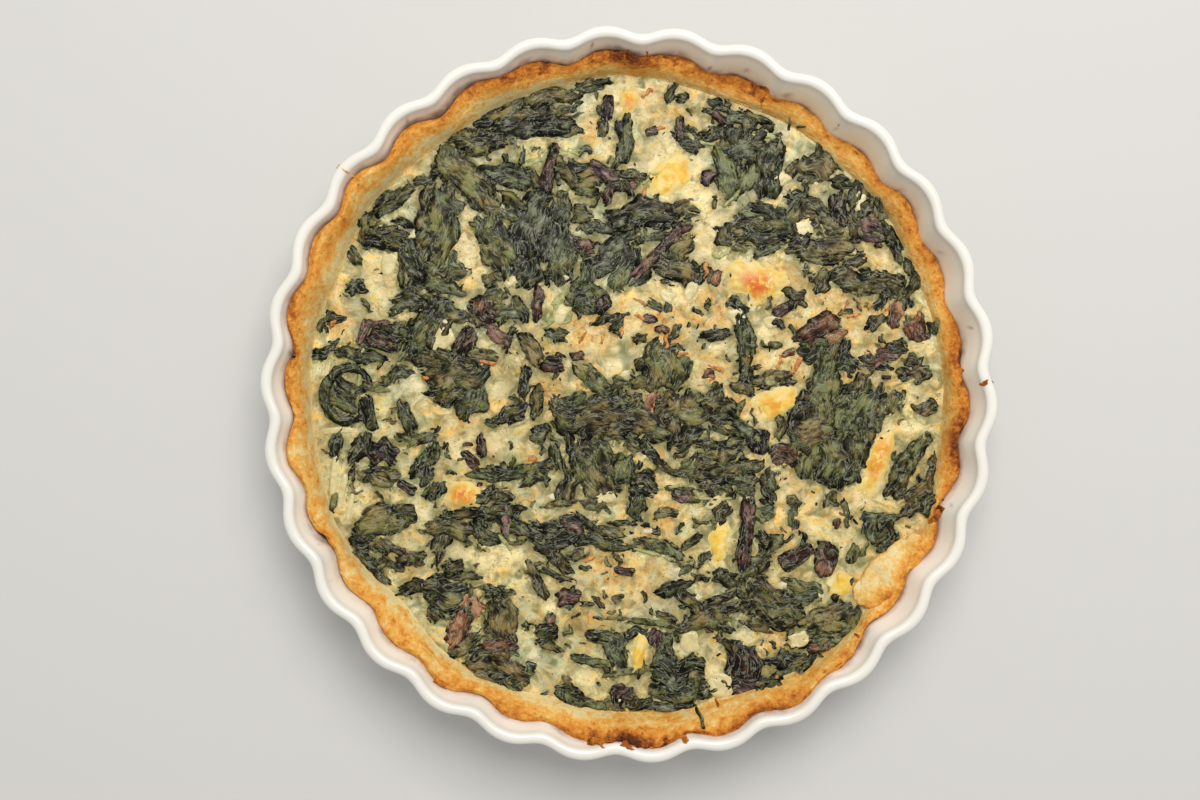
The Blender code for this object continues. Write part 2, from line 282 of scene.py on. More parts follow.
class Shader:
    """A Principled material with short calls for the nodes that feed it."""

    def __init__(self, name, roughness, **constants):
        self.material = bpy.data.materials.new(name)
        self.material.use_nodes = True
        self.nodes = self.material.node_tree.nodes
        self.links = self.material.node_tree.links
        self.surface = self.nodes["Principled BSDF"]
        self.surface.inputs["Roughness"].default_value = roughness
        for socket, value in constants.items():
            self.surface.inputs[socket.replace("_", " ")].default_value = value
        self.place = self.nodes.new("ShaderNodeTexCoord").outputs["Object"]

    def noise(self, size, detail=3.0, rough=0.55, distortion=0.0, place=None):
        """Noise whose patches are about `size` millimetres across."""
        node = self.nodes.new("ShaderNodeTexNoise")
        node.inputs["Scale"].default_value = 1 / (size * MM)
        node.inputs["Detail"].default_value = detail
        node.inputs["Roughness"].default_value = rough
        node.inputs["Distortion"].default_value = distortion
        self.links.new(place or self.place, node.inputs["Vector"])
        return node.outputs["Fac"]

    def patchy(self, noise, *stops):
        """Colours or greys along a noise, given by its arguments."""
        return self.ramp(self.noise(*noise), *stops)

    def lines(self, size, width, place=None):
        """Thin winding lines about `size` millimetres apart, 1 along each line."""
        field = self.noise(size, 3, 0.6, 0.6, place)
        away = self.maths("ABSOLUTE", self.maths("SUBTRACT", field, 0.5))
        return self.ramp(away, (0.0, 1.0), (width, 0.0))

    def mask(self, name, output="Fac"):
        """A value, or a vector, that the mesh carries at each point."""
        node = self.nodes.new("ShaderNodeAttribute")
        node.attribute_name = name
        return node.outputs[output]

    def ramp(self, value, *stops):
        """Colours or greys along a value: (position, colour) pairs."""
        node = self.nodes.new("ShaderNodeValToRGB")
        ramp = node.color_ramp
        while len(ramp.elements) < len(stops):
            ramp.elements.new(0.5)
        for element, (position, colour) in zip(ramp.elements, stops):
            element.position = position
            if isinstance(colour, (int, float)):
                colour = (colour, colour, colour)
            element.color = (*colour, 1)
        self.links.new(value, node.inputs["Fac"])
        return node.outputs["Color"]

    def mix(self, share, first, second, how="MIX"):
        """Two colours, or sockets that give them, mixed by a share."""
        node = self.nodes.new("ShaderNodeMix")
        node.data_type = "RGBA"
        node.blend_type = how
        self.feed(node.inputs[0], share)
        self.feed(node.inputs[6], first)
        self.feed(node.inputs[7], second)
        return node.outputs[2]

    def maths(self, how, first, second=0.0, third=0.0):
        """One calculation with up to three values."""
        node = self.nodes.new("ShaderNodeMath")
        node.operation = how
        for socket, value in zip(node.inputs, (first, second, third)):
            self.feed(socket, value)
        return node.outputs[0]

    def times(self, first, second):
        """Two values multiplied."""
        return self.maths("MULTIPLY", first, second)

    def plus(self, total, value, share):
        """A total with a share of a value added."""
        return self.maths("MULTIPLY_ADD", value, share, total)

    def shade(self, colour, factor):
        """A colour multiplied by a grey or another colour."""
        return self.mix(1.0, colour, factor, "MULTIPLY")

    def feed(self, socket, value):
        """Link a socket to another, or set its value."""
        if isinstance(value, bpy.types.NodeSocket):
            self.links.new(value, socket)
        elif isinstance(value, tuple):
            socket.default_value = (*value, 1)
        else:
            socket.default_value = value

    def paint(self, colour, sheen, limits, bump, depth):
        """Finish the material: its colour, its roughness and a bump in millimetres.

        The roughness follows the value `sheen` between the two `limits`."""
        self.links.new(colour, self.surface.inputs["Base Color"])
        roughness = self.ramp(sheen, (0.3, limits[0]), (0.7, limits[1]))
        self.links.new(roughness, self.surface.inputs["Roughness"])
        node = self.nodes.new("ShaderNodeBump")
        node.inputs["Distance"].default_value = depth * MM
        node.inputs["Strength"].default_value = 1.0
        self.links.new(bump, node.inputs["Height"])
        self.links.new(node.outputs["Normal"], self.surface.inputs["Normal"])
        return self.material


def glaze_material():
    """White glaze, its wall painted lighter and its far side low down in painted warm shade; browned along
    the line where the pie meets it, partly as painted contact shade.
    """
    shader = Shader("white_glaze_look", 0.14)
    # At 0 the glaze's own white. The brighter white at 0.5 is painted light down the inner wall, and the
    # beige at 1 is painted warm shade low on the far side.
    wall = shader.ramp(
        shader.mask("inside"),
        (0.0, (0.83, 0.81, 0.75)),
        (0.5, (0.96, 0.93, 0.86)),
        (1.0, (0.95, 0.87, 0.70)),
    )
    wall = shader.shade(wall, shader.patchy((40, 2), (0.3, 0.94), (0.7, 1.0)))
    # Real stains, with the painted contact shade along the pastry's edge.
    blotch = shader.patchy((5, 4), (0.35, 0.3), (0.65, 1.0))
    stain_and_contact_shade = shader.times(shader.mask("stain_and_contact_shade"), blotch)
    colour = shader.mix(stain_and_contact_shade, wall, (0.26, 0.13, 0.075))
    return shader.paint(colour, shader.noise(3, 3), (0.1, 0.2), shader.noise(9, 2), 0.05)


def pastry_material():
    """Baked pastry: cream inside, golden above, brown and nearly black where it caught."""
    shader = Shader("baked_pastry_look", 0.7, Specular_IOR_Level=0.15)
    mottle = shader.maths("SUBTRACT", shader.noise(4.5, 5, 0.65), 0.5)
    fine = shader.maths("SUBTRACT", shader.noise(1.0, 4, 0.75), 0.5)
    grain = shader.maths("SUBTRACT", shader.noise(2.3, 3, 0.6, 0.5), 0.54)
    brown = shader.plus(shader.mask("brown"), mottle, 0.72)
    brown = shader.plus(brown, grain, 0.70)
    brown = shader.plus(brown, fine, 0.50)
    colour = shader.ramp(
        brown,
        (0.0, (0.90, 0.74, 0.36)),
        (0.15, (0.91, 0.55, 0.15)),
        (0.31, (0.87, 0.40, 0.07)),
        (0.48, (0.70, 0.26, 0.038)),
        (0.66, (0.44, 0.13, 0.02)),
        (0.8, (0.20, 0.05, 0.012)),
        (1.0, (0.055, 0.02, 0.01)),
    )
    specks = shader.patchy((1.5, 2, 0.5), (0.64, 0.0), (0.70, 0.6))
    specks = shader.times(specks, shader.ramp(brown, (0.22, 0.0), (0.40, 1.0)))
    colour = shader.mix(specks, colour, (0.22, 0.06, 0.015))
    colour = shader.mix(shader.mask("inner_darkening"), colour, (0.28, 0.15, 0.04))
    bump = shader.plus(shader.noise(1.1, 6, 0.75), mottle, 0.8)
    return shader.paint(colour, shader.noise(2.5, 3), (0.55, 0.8), bump, 0.85)


def custard_material():
    """Set custard: cream and yellow, green and in painted shade by the leaves, toasted in patches, flecked;
    its lumps painted lighter and its hollows darker.
    """
    shader = Shader("set_custard_look", 0.42, Specular_IOR_Level=0.25)
    body = shader.patchy(
        (5.5, 3, 0.5, 1.0),
        (0.34, (0.30, 0.26, 0.10)),
        (0.42, (0.48, 0.39, 0.16)),
        (0.50, (0.65, 0.52, 0.22)),
        (0.57, (0.78, 0.65, 0.34)),
        (0.65, (0.82, 0.57, 0.16)),
    )
    cast = shader.patchy(
        (6.0, 4, 0.65, 0.5),
        (0.35, (0.84, 1.01, 1.16)),
        (0.46, (0.93, 0.99, 1.07)),
        (0.54, (1.01, 0.98, 0.96)),
        (0.65, (1.16, 0.95, 0.66)),
    )
    body = shader.shade(body, cast)
    body = shader.shade(body, shader.patchy((13, 2, 0.5), (0.36, 0.82), (0.64, 1.10)))
    blobs = shader.patchy((4.0, 3, 0.5, 0.5), (0.40, 0.0), (0.50, 0.9))
    body = shader.mix(shader.times(shader.mask("cream"), blobs), body, (0.84, 0.71, 0.37))
    # Painted light and shade: lighter on the custard's lumps, darker in its hollows.
    body = shader.shade(body, shader.ramp(shader.mask("rise"), (0.0, 0.74), (1.0, 1.06)))
    cool = shader.times(shader.mask("cool"), shader.patchy((5, 3, 0.6), (0.36, 0.3), (0.50, 1.0)))
    body = shader.mix(cool, body, (0.85, 1.0, 1.22), "MULTIPLY")
    # Next to the leaves: partly a real green stain, partly painted shade beside them.
    edge = shader.maths("MULTIPLY_ADD", shader.noise(2.4, 4, 0.6, 0.9), 2.4, -0.65)
    leaf_green_and_shade = shader.ramp(shader.times(shader.mask("green"), edge), (0.08, 0.0), (0.5, 0.95))
    colour = shader.mix(leaf_green_and_shade, body, (0.165, 0.155, 0.055))
    tan = shader.patchy(
        (3.0, 5, 0.7),
        (0.36, (0.78, 0.56, 0.21)),
        (0.52, (0.76, 0.41, 0.09)),
        (0.64, (0.34, 0.10, 0.025)),
    )
    toast_edge = shader.patchy((4.5, 5, 0.65, 0.6), (0.42, 0.0), (0.54, 0.9))
    colour = shader.mix(shader.times(shader.mask("toast"), toast_edge), colour, tan)
    streaks = shader.times(shader.lines(3.2, 0.03), shader.noise(7, 2))
    colour = shader.mix(streaks, colour, (0.24, 0.22, 0.08))
    specks = shader.patchy((1.3, 2, 0.5), (0.68, 0.0), (0.73, 0.9))
    colour = shader.mix(specks, colour, (0.08, 0.09, 0.03))
    return shader.paint(colour, shader.noise(3, 4), (0.25, 0.42), shader.noise(2.8, 1, 0.5), 0.25)


# The looks of leaves: tones from the painted shade of the deepest fold to the painted highlight
# of a wet crest, the hues that tint whole patches of them, and the colour of their flecks.
LEAF_LOOKS = {
    "wilted_leaf_look": (
        ((0.001, 0.001, 0.001), (0.018, 0.018, 0.018), (0.074, 0.074, 0.074), (0.19, 0.19, 0.19)),
        ((1.20, 0.84, 0.30), (1.10, 0.91, 0.30), (1.00, 0.99, 0.29), (0.85, 1.0, 0.43), (0.98, 1.0, 0.70)),
        (0.085, 0.115, 0.022),
    ),
    "purple_stem_look": (
        ((0.003, 0.002, 0.002), (0.020, 0.0115, 0.010), (0.070, 0.042, 0.037), (0.21, 0.155, 0.13)),
        ((1.45, 0.9, 0.45), (1.25, 0.9, 0.65), (1.15, 0.86, 0.85), (1.1, 0.84, 0.95), (1.0, 0.95, 0.9)),
        (0.11, 0.05, 0.045),
    ),
    "browned_leaf_look": (
        ((0.015, 0.006, 0.004), (0.07, 0.026, 0.014), (0.19, 0.085, 0.04), (0.40, 0.24, 0.13)),
        ((1.0, 1.0, 1.0), (1.1, 0.9, 0.9), (1.05, 0.95, 0.9), (1.0, 1.0, 0.9), (0.8, 1.0, 0.9)),
        (0.24, 0.09, 0.03),
    ),
}
# The colours of the leaves' pale veins, which also stand for painted glints on their wet crinkles, and of
# the custard film that caught on their edges.
VEIN_AND_GLINT = (0.36, 0.38, 0.27)
FILM = (0.28, 0.27, 0.11)


def leaf_material(name, tones, hues, fleck):
    """Wilted leaf: folded along its length, in patches of different hues, edges filmed, with painted shade
    in its creases and painted glints along its veins.
    """
    shader = Shader(name, 0.45, Specular_IOR_Level=0.14)
    # Where a point lies on its own piece: along it, across it, and which piece it is.
    lie = shader.mask("lie", "Vector")
    drawn = shader.nodes.new("ShaderNodeVectorMath")
    drawn.operation = "MULTIPLY"
    drawn.inputs[1].default_value = (0.45, 1.0, 1.0)
    shader.links.new(lie, drawn.inputs[0])
    drawn = drawn.outputs[0]
    fibre = shader.noise(2.6, 2, 0.5, 0.7, lie)
    stripe = shader.noise(1.2, 2, 0.5, 0.4, drawn)
    patch = shader.noise(4.5, 3, 0.5, 0.4)
    # Dark lines along the leaf: painted shade in its creases.
    painted_crease_shade = shader.times(shader.lines(3.4, 0.07, lie), shader.noise(3.0, 2))
    tone_and_painted_light = shader.mask("tone_and_painted_light")
    for value, share in ((fibre, 0.9), (patch, 1.1), (stripe, 0.24), (painted_crease_shade, -0.75)):
        tone_and_painted_light = shader.plus(tone_and_painted_light, value, share)
    tone_and_painted_light = shader.maths("MULTIPLY_ADD", tone_and_painted_light, 0.5, 0.180)
    colour = shader.ramp(tone_and_painted_light, *zip((0.50, 0.68, 0.82, 0.98), tones))
    hue = shader.plus(shader.noise(5.0, 3, 0.6, 0.5), shader.mask("tint"), 0.36)
    hue = shader.plus(hue, shader.noise(2.6, 2, 0.5, 0.5, lie), 0.24)
    hue = shader.maths("SUBTRACT", hue, 0.12)
    colour = shader.shade(colour, shader.ramp(hue, *zip((0.47, 0.60, 0.72, 0.84, 1.0), hues)))
    colour = shader.mix(shader.patchy((2.2, 3, 0.6), (0.60, 0.0), (0.67, 0.65)), colour, fleck)
    # Pale lines along the leaf: partly its veins, partly painted glints on wet crinkles.
    veins_and_glints = shader.times(shader.lines(2.6, 0.03, lie), shader.noise(4, 3, 0.6))
    colour = shader.mix(veins_and_glints, colour, VEIN_AND_GLINT)
    streak = shader.patchy((1.6, 3, 0.6, 0.6), (0.46, 0.0), (0.53, 1.0))
    colour = shader.mix(shader.times(streak, shader.mask("film")), colour, FILM)
    bump = shader.plus(fibre, stripe, 0.6)
    return shader.paint(colour, shader.noise(1.5, 3), (0.2, 0.45), bump, 0.42)


def cheese_material():
    """Melted cheese: softly mottled, dull at its rim, toasted where its mask says."""
    shader = Shader("melted_cheese_look", 0.35, Specular_IOR_Level=0.3)
    body = shader.patchy(
        (5, 3, 0.5, 0.8), (0.38, (0.74, 0.42, 0.04)), (0.50, (0.80, 0.58, 0.09)), (0.62, (0.84, 0.68, 0.28))
    )
    rind = shader.times(shader.mask("film"), shader.patchy((3.0, 3, 0.6), (0.36, 0.45), (0.54, 1.0)))
    body = shader.mix(rind, body, (0.70, 0.56, 0.24))
    spots = shader.patchy((3.2, 5, 0.65, 1.0), (0.38, 0.0), (0.52, 1.0))
    colour = shader.mix(shader.times(shader.mask("tint"), spots), body, (0.66, 0.14, 0.02))
    green = shader.patchy((1.3, 3, 0.5), (0.68, 0.0), (0.74, 0.7))
    colour = shader.mix(green, colour, (0.22, 0.20, 0.07))
    return shader.paint(colour, shader.noise(2, 3), (0.28, 0.45), shader.noise(0.9, 4, 0.6), 0.2)


def plain_material(name, dark, light, size, roughness, depth):
    """A mottled material of two colours, for small things."""
    shader = Shader(name, roughness)
    mottle = shader.noise(size, 4, 0.6)
    colour = shader.ramp(mottle, (0.3, dark), (0.7, light))
    limits = (roughness - 0.08, roughness + 0.08)
    return shader.paint(colour, mottle, limits, shader.noise(size / 3, 4, 0.6), depth)


# ------------------------------------------------------------ the dish


def flute_wave(angle):
    """The flutes' wave: broad crests and slightly sharper troughs."""
    phase = FLUTES * (angle - FIRST_CREST)
    return np.cos(phase) - 0.1 * np.cos(2 * phase)


def inner_wall(height):
    """Mean radius of the dish's inner wall at a height."""
    return RIM_INNER - (LIP_START - height) * INNER_LEAN


def dish_profile():
    """(radius, height, share of the flutes) from under the foot, over the lip, to the floor."""
    wall_foot = RIM_OUTER - (LIP_START - FOOT_HEIGHT) * OUTER_LEAN
    points = [(60, UNDERSIDE_HEIGHT, 0.0), (110, UNDERSIDE_HEIGHT, 0.3), (113, 0.0, 0.5), (120.5, 0.0, 0.7)]
    for step in range(7):
        swing = math.radians(15 * step)
        radius = FOOT_RADIUS + (wall_foot - FOOT_RADIUS) * math.sin(swing)
        points.append((radius, FOOT_HEIGHT * (1 - math.cos(swing)), 0.75 + 0.25 * step / 6))
    for step in range(1, 10):
        share = step / 10
        bulge = 0.25 * math.sin(math.pi * share)
        radius = wall_foot + (RIM_OUTER - wall_foot) * share + bulge
        points.append((radius, FOOT_HEIGHT + (LIP_START - FOOT_HEIGHT) * share, 1.0))
    half = LIP_WIDTH / 2
    for step in range(13):
        swing = math.pi * step / 12
        height = LIP_START + LIP_DROP * math.sin(swing)
        points.append((RIM_OUTER - half + half * math.cos(swing), height, 1.0))
    corner = FLOOR_HEIGHT + FLOOR_CORNER
    for step in range(1, 11):
        height = LIP_START + (corner - LIP_START) * step / 10
        points.append((inner_wall(height), height, 1.0))
    points.append((inner_wall(corner) - FLOOR_CORNER, FLOOR_HEIGHT, 0.8))
    points.append((90, FLOOR_HEIGHT, 0.0))
    return np.array(points)


# Where the inner wall is stained: direction and half width in degrees, and how strongly.
WALL_STAINS = (
    (65, 22, 0.35), (35, 10, 0.2), (205, 7, 0.25), (232, 26, 0.1), (98, 20, 0.3), (120, 14, 0.25),
    (290, 20, 0.2),
)
# Small stains higher up the wall: direction in degrees, height above the floor and size.
WALL_SPECKS = (
    (129, 33, 1.2), (24.5, 27, 1.4), (37, 28, 1.6), (52, 28, 1.0), (62, 27, 1.6), (70, 28, 1.4),
    (76, 27, 1.2), (173, 31, 0.9), (212, 34, 1.1), (206, 31, 0.9), (341, 31, 1.0), (11, 30, 0.8),
    (96, 33, 0.9),
)


def make_dish(material):
    """The white dish, its flutes running through wall and lip."""
    angle = all_round(DISH_COLUMNS, FIRST_CREST)
    radius, height, share = (column[:, None] for column in dish_profile().T)
    wave = flute_wave(angle)[None, :]
    wander = 0.12 * noise(60 * np.cos(angle), 60 * np.sin(angle), 25, 5)[None, :]
    rings = radius + share * (FLUTE_HEIGHT * wave + wander)
    heights = height + np.zeros_like(rings)
    inside = (radius < inner_wall(height) + 0.6) & (height > FLOOR_HEIGHT - 0.1)
    stain_and_contact_shade = np.zeros_like(rings)
    for centre, half_width, strength in WALL_STAINS:
        stain_and_contact_shade = stain_and_contact_shade + strength * around(angle, centre, half_width)[None, :]
    above = height - case_rim(angle)[0][None, :]
    low_down = 1 - step_up(above, 0.5, 6.0)
    # A dark line just above the pastry's edge: partly baked-on residue, partly painted contact shade.
    line = 0.6 * (1 - step_up(above, -0.6, 0.9 + 0.6 * wander))
    stain_and_contact_shade = stain_and_contact_shade * low_down + line
    for centre, level, size in WALL_SPECKS:
        across = degrees_from(angle, centre)[None, :] * RIM_INNER * math.radians(1)
        away = np.hypot(across, heights - level)
        stain_and_contact_shade = stain_and_contact_shade + 0.7 * (1 - step_up(away, 0.4 * size, 1.2 * size))
    stain_and_contact_shade = np.clip(stain_and_contact_shade, 0, 1) * inside
    # Painted light on the inner wall: lighter than the lip below it, and painted warm shade low down on the
    # far side, whose wall faces away from the window.
    below_lip = LIP_START - heights
    cloud = noise(RIM_INNER * np.cos(angle), RIM_INNER * np.sin(angle), 30, 9)
    far_side = step_up(np.sin(angle) + 0.4 * cloud, -0.7, 0.7)[None, :]
    painted_wall_light = 0.5 * inside * (step_up(below_lip, -0.8, 1.2) + step_up(below_lip, 1.5, 9.0) * far_side)
    masks = {"stain_and_contact_shade": np.append(stain_and_contact_shade.ravel(), [0, 0]), "inside": np.append(painted_wall_light.ravel(), [0, 1])}
    points = turned_points(rings, heights, angle[None, :], UNDERSIDE_HEIGHT, FLOOR_HEIGHT)
    faces = turned_faces(len(heights), DISH_COLUMNS)
    piece = make_mesh("dish_visual", points, faces, masks, material)
    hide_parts("dish")


# ------------------------------------------------------------ the pastry case

# Every row here is a direction and a half width in degrees, and then how much.
# How far the rim stands above its usual height, where it hardly follows the flutes, and how
# far out its inner line lies.  RIM_RISES was not chosen by hand: a scratch program fitted it
# to the rim's edge in the photo, by least squares, for the lean that the dish's wall has.
RIM_RISES = (
    (14, 16, -3.2), (36, 8, 2.6), (46, 34, -5.7), (72, 8, -2.3), (90, 8, 3.2), (112, 8, 5.1),
    (124, 8, 1.3), (150, 34, 6.9), (166, 8, 1.7), (192, 10, 3.1), (214, 16, -0.9), (234, 8, 3.0),
    (268, 8, 2.9), (282, 34, 6.8), (302, 8, 3.9), (320, 8, -2.1), (334, 26, -1.0), (342, 8, -2.3),
)
RIM_SMOOTHING = ((24, 24, 0.6), (56, 26, 0.6))
INNER_BULGES = (
    (22, 16, -1.6), (47, 12, -1.6), (71, 12, -2.0), (92, 9, 1.6), (122, 14, -1.2), (145, 6, 1.2),
    (157, 7, -1.4), (173, 14, 1.2), (204, 10, 1.6), (223, 9, -3.6), (240, 8, 1.0), (256, 6, -1.4),
    (278, 14, 1.4), (308, 16, 3.6), (338, 8, 2.4), (352, 10, -0.8),
)
# How brown the rim is, over its usual gold, and where that brown reaches the inner edge.
RIM_BROWNING = (
    (6, 10, 0.36), (352, 9, 0.40), (24, 10, 0.16), (44, 14, 0.10), (70, 10, 0.24), (90, 12, 0.42),
    (110, 13, 0.30), (132, 9, 0.03), (150, 12, -0.08), (171, 11, 0.17), (190, 10, -0.06),
    (220, 24, -0.08), (246, 8, 0.08), (270, 11, 0.56), (292, 14, 0.22), (312, 10, 0.08), (336, 6, 0.18),
)
DEEP_BROWNING = (
    (88, 12, 0.9), (352, 8, 0.9), (4, 8, 0.9), (26, 16, 0.8), (60, 24, 0.8), (110, 8, 0.5), (170, 8, 0.4),
    (270, 8, 0.3),
)
# Where the inner edge of the rim is darker and browner.
DARKER_INNER_EDGE = (
    (2, 26, 0.42), (34, 22, 0.42), (64, 22, 0.42), (90, 12, 0.15), (180, 20, 0.25), (210, 16, 0.25),
    (330, 16, 0.22),
)
# Where a strip of pale pastry shows along the custard.
PALE_STRIPS = (
    (118, 22, 1.4), (150, 16, 1.3), (184, 24, 0.8), (226, 26, 1.2), (256, 12, 1.2), (326, 12, 0.8),
)
# Where the rim is torn and crumbly, where it leans out over the lip, and its cracks.
RIM_CRUMBLY = ((88, 8, 0.8), (270, 8, 1.3), (312, 6, 0.5), (4, 4, 0.4))
RIM_SPILLS = (
    (267, 4, 2.8), (274, 6, 2.2), (236, 5, 0.7), (222, 5, 0.9), (286, 11, 1.3), (301, 9, 1.1),
    (255, 6, 0.5), (123, 9, -1.2), (136, 8, -1.1), (150, 8, -0.9), (181, 8, -0.5),
)
RIM_CRACKS = (
    (173, 1.0, 1.2), (205, 1.4, 2.2), (104, 0.9, 1.2), (339, 1.2, 1.6), (276, 0.8, 1.0), (161, 0.8, 0.8),
)


def rim_sum(angle, bumps):
    """All the bumps of a list, added up round the rim."""
    return sum(much * around(angle, centre, wide) for centre, wide, much in bumps)


def case_inner(angle):
    """Radius of the line where pastry and custard meet."""
    wander = 0.35 * noise(CASE_INNER * np.cos(angle), CASE_INNER * np.sin(angle), 6, 19)
    return CASE_INNER + rim_sum(angle, INNER_BULGES) + wander


def case_rim(angle):
    """Height of the rim and radius of its outer edge, without its fine ripples."""
    height = CASE_RIM_HEIGHT + rim_sum(angle, RIM_RISES)
    height = np.clip(height, CASE_RIM_LOWEST, CASE_RIM_HIGHEST)
    follow = FLUTE_HEIGHT * (1 - np.minimum(rim_sum(angle, RIM_SMOOTHING), 0.6))
    return height, inner_wall(height - 1.5) - 0.35 + follow * (flute_wave(angle) - 1) + FLUTE_HEIGHT


def rim_ground(x, y):
    """Height of what lies under a point: the pastry's slope, the dish's wall or its lip."""
    angle = np.arctan2(y, x)
    radius = np.hypot(x, y)
    rim, outer = case_rim(angle)
    inner = case_inner(angle)
    slope = (radius - inner) / (outer - inner)
    rise = np.interp(slope, (-0.6, 0.0, 0.16, 0.40, 0.70), (-0.12, -0.08, 0.36, 0.74, 1.0))
    pastry = CASE_INNER_HEIGHT + (rim - CASE_INNER_HEIGHT) * rise
    wall = LIP_START - (RIM_INNER + FLUTE_HEIGHT * flute_wave(angle) - radius) / INNER_LEAN
    return np.where(radius < outer, pastry, np.clip(wall, rim, DISH_HEIGHT - 0.3))


def make_case(material):
    """The pastry case: a rough browned rim that slopes in to the custard."""
    angle = all_round(CASE_COLUMNS, FIRST_CREST)
    ring_x = RIM_MIDDLE * np.cos(angle)
    ring_y = RIM_MIDDLE * np.sin(angle)
    crumbly = rim_sum(angle, RIM_CRUMBLY)
    crack = rim_sum(angle, RIM_CRACKS)
    rim, outer = case_rim(angle)
    ripple = 0.45 * noise(ring_x, ring_y, 9, 21) + 0.3 * noise(ring_x, ring_y, 4, 22)
    rim = np.minimum(rim + ripple * (1 + crumbly), DISH_HEIGHT - 0.8)
    loose = crumbly * (0.3 + 0.9 * noise(ring_x, ring_y, 2.4, 24))
    torn = 0.4 * layered(ring_x, ring_y, 6, 23, 3) + loose
    outer = outer - 0.15 - np.maximum(torn, -0.1) - 0.6 * crack + rim_sum(angle, RIM_SPILLS)
    inner = case_inner(angle)
    band = outer - inner
    foot = inner_wall(8.0) - 0.6 + FLUTE_HEIGHT * flute_wave(angle)
    rise = rim - CASE_INNER_HEIGHT
    zero = np.zeros(CASE_COLUMNS)
    # (radius, height) from under the case, up its outside, over the rim and down to its floor.
    stations = [
        (foot - 3.0, zero + CASE_BOTTOM),
        (foot, zero + 8.0),
        (outer - 0.5, rim - 3.6),
        (outer, rim - 1.5),
        (outer - 0.2 - 0.08 * band, rim - 0.5),
        (outer - 0.30 * band, rim - 0.4 * crack),
        (inner + 0.40 * band, CASE_INNER_HEIGHT + 0.74 * rise - 0.3 * crack),
        (inner + 0.16 * band, CASE_INNER_HEIGHT + 0.36 * rise),
        (inner, zero + CASE_INNER_HEIGHT - 0.7),
        (inner - 1.5, zero + 19.6),
        (inner - 3.5, zero + 12.0),
        (inner - 5.5, zero + CASE_FLOOR),
    ]
    steps = [1, 2, 4, 4, 5, 8, 9, 8, 2, 1, 1]
    radius = smooth_section([station[0] for station in stations], steps)
    height = smooth_section([station[1] for station in stations], steps)
    rows = len(radius)
    row = np.arange(rows)[:, None]
    lane = angle[None, :] * RIM_MIDDLE + np.zeros((rows, 1))
    level = row * 0.5 + np.zeros((1, CASE_COLUMNS))
    seen = step_up(row, 3, 7) * (1 - step_up(row, rows - 7, rows - 4))
    rough = (0.55 + 0.5 * crumbly)[None, :] * layered(lane, level * 1.4, 4.6, 31, 4)
    rough = rough + (0.20 + 0.35 * crumbly)[None, :] * noise(lane, level, 1.5, 35)
    pits = -0.5 * step_up(noise(lane, level, 1.7, 36), 0.72, 0.95)
    lifted = (rough + pits) * seen
    height = np.minimum(height + lifted, DISH_HEIGHT - 0.4)
    radius = radius + 0.35 * lifted
    outward = (radius - inner[None, :]) / (outer - inner)[None, :]
    deep = np.clip(rim_sum(angle, DEEP_BROWNING), 0, 1)[None, :]
    reach = step_up(outward, 0.30 - 0.35 * deep, 0.85 - 0.35 * deep)
    shade = 0.15 + 0.10 * step_up(outward, 0.0, 0.4) + 0.12 * step_up(outward, 0.35, 0.95)
    shade = shade + rim_sum(angle, RIM_BROWNING)[None, :] * reach
    shade = shade + 0.15 * layered(lane, level * 1.5, 12, 41, 3) * step_up(outward, 0.0, 0.4)
    shade = shade + 0.25 * np.clip(crack, 0, 1)[None, :] * reach
    # Darker in the hollows of the rough top: painted shade.
    shade = shade + 0.16 * step_up(-rough, 0.1, 0.5)
    strip = 1 - step_up(outward + 0.16 * noise(lane, level, 7, 43), 0.10, 0.34)
    shade = shade - 0.16 * strip * np.clip(rim_sum(angle, PALE_STRIPS), 0, 1)[None, :]
    by_inner_edge = 1 - step_up(outward + 0.14 * noise(lane, level, 6, 44), 0.15, 0.60)
    inner_darkening = rim_sum(angle, DARKER_INNER_EDGE)[None, :] * by_inner_edge
    masks = {
        "brown": np.append(np.clip(shade, 0, 1).ravel(), [0.1, 0.1]),
        "inner_darkening": np.append(np.clip(inner_darkening, 0, 0.6).ravel(), [0, 0]),
    }
    points = turned_points(radius, height, angle[None, :], CASE_BOTTOM, CASE_FLOOR)
    piece = make_mesh("crust_visual", points, turned_faces(rows, CASE_COLUMNS), masks, material)
    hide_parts("crust")


# ------------------------------------------------------------ the custard

# Toasted places on the custard: (x, y, radius, strength).
TOASTED = (
    (15, 28, 13, 1.0), (-16, 24, 12, 0.9), (-2, 30, 8, 0.8), (30, 33, 12, 0.9), (34, 8, 8, 0.9),
    (24, 15, 6, 0.8), (-31, 1, 8, 0.8), (-14, 103, 8, 0.8), (8, 114, 8, 0.6), (-63, -10, 8, 0.7),
    (-66, -39, 9, 0.7), (-37, -25, 5, 0.6), (-38, -39, 6, 0.6), (-8, -66, 14, 0.7), (6, -72, 12, 0.6),
    (12, -52, 8, 0.8), (62, -53, 9, 0.8), (85, -45, 8, 0.6), (8, -6, 8, 0.8), (64, 10, 8, 0.8),
    (86, 6, 8, 0.6), (88, 28, 12, 0.8), (102, 30, 8, 0.9), (-113, 28, 7, 0.8), (-96, 6, 8, 0.5),
    (-88, -66, 8, 0.5), (-13, -85, 10, 0.6), (108, -30, 6, 0.8), (97, -17, 5, 0.7), (57, -95, 8, 0.6),
    (20, 62, 6, 0.4), (-63, 57, 6, 0.6), (-97, 46, 8, 0.5), (50, 12, 6, 0.6), (-58, -22, 8, 0.4),
    (15, -42, 8, 0.6), (95, 53, 8, 0.5), (36, 100, 6, 0.4), (64, -36, 6, 0.5), (57, 43, 12, 0.9),
    (69, 27, 12, 0.8), (46, -2, 9, 0.8), (98, 16, 9, 0.7), (78, 41, 10, 0.7),
)
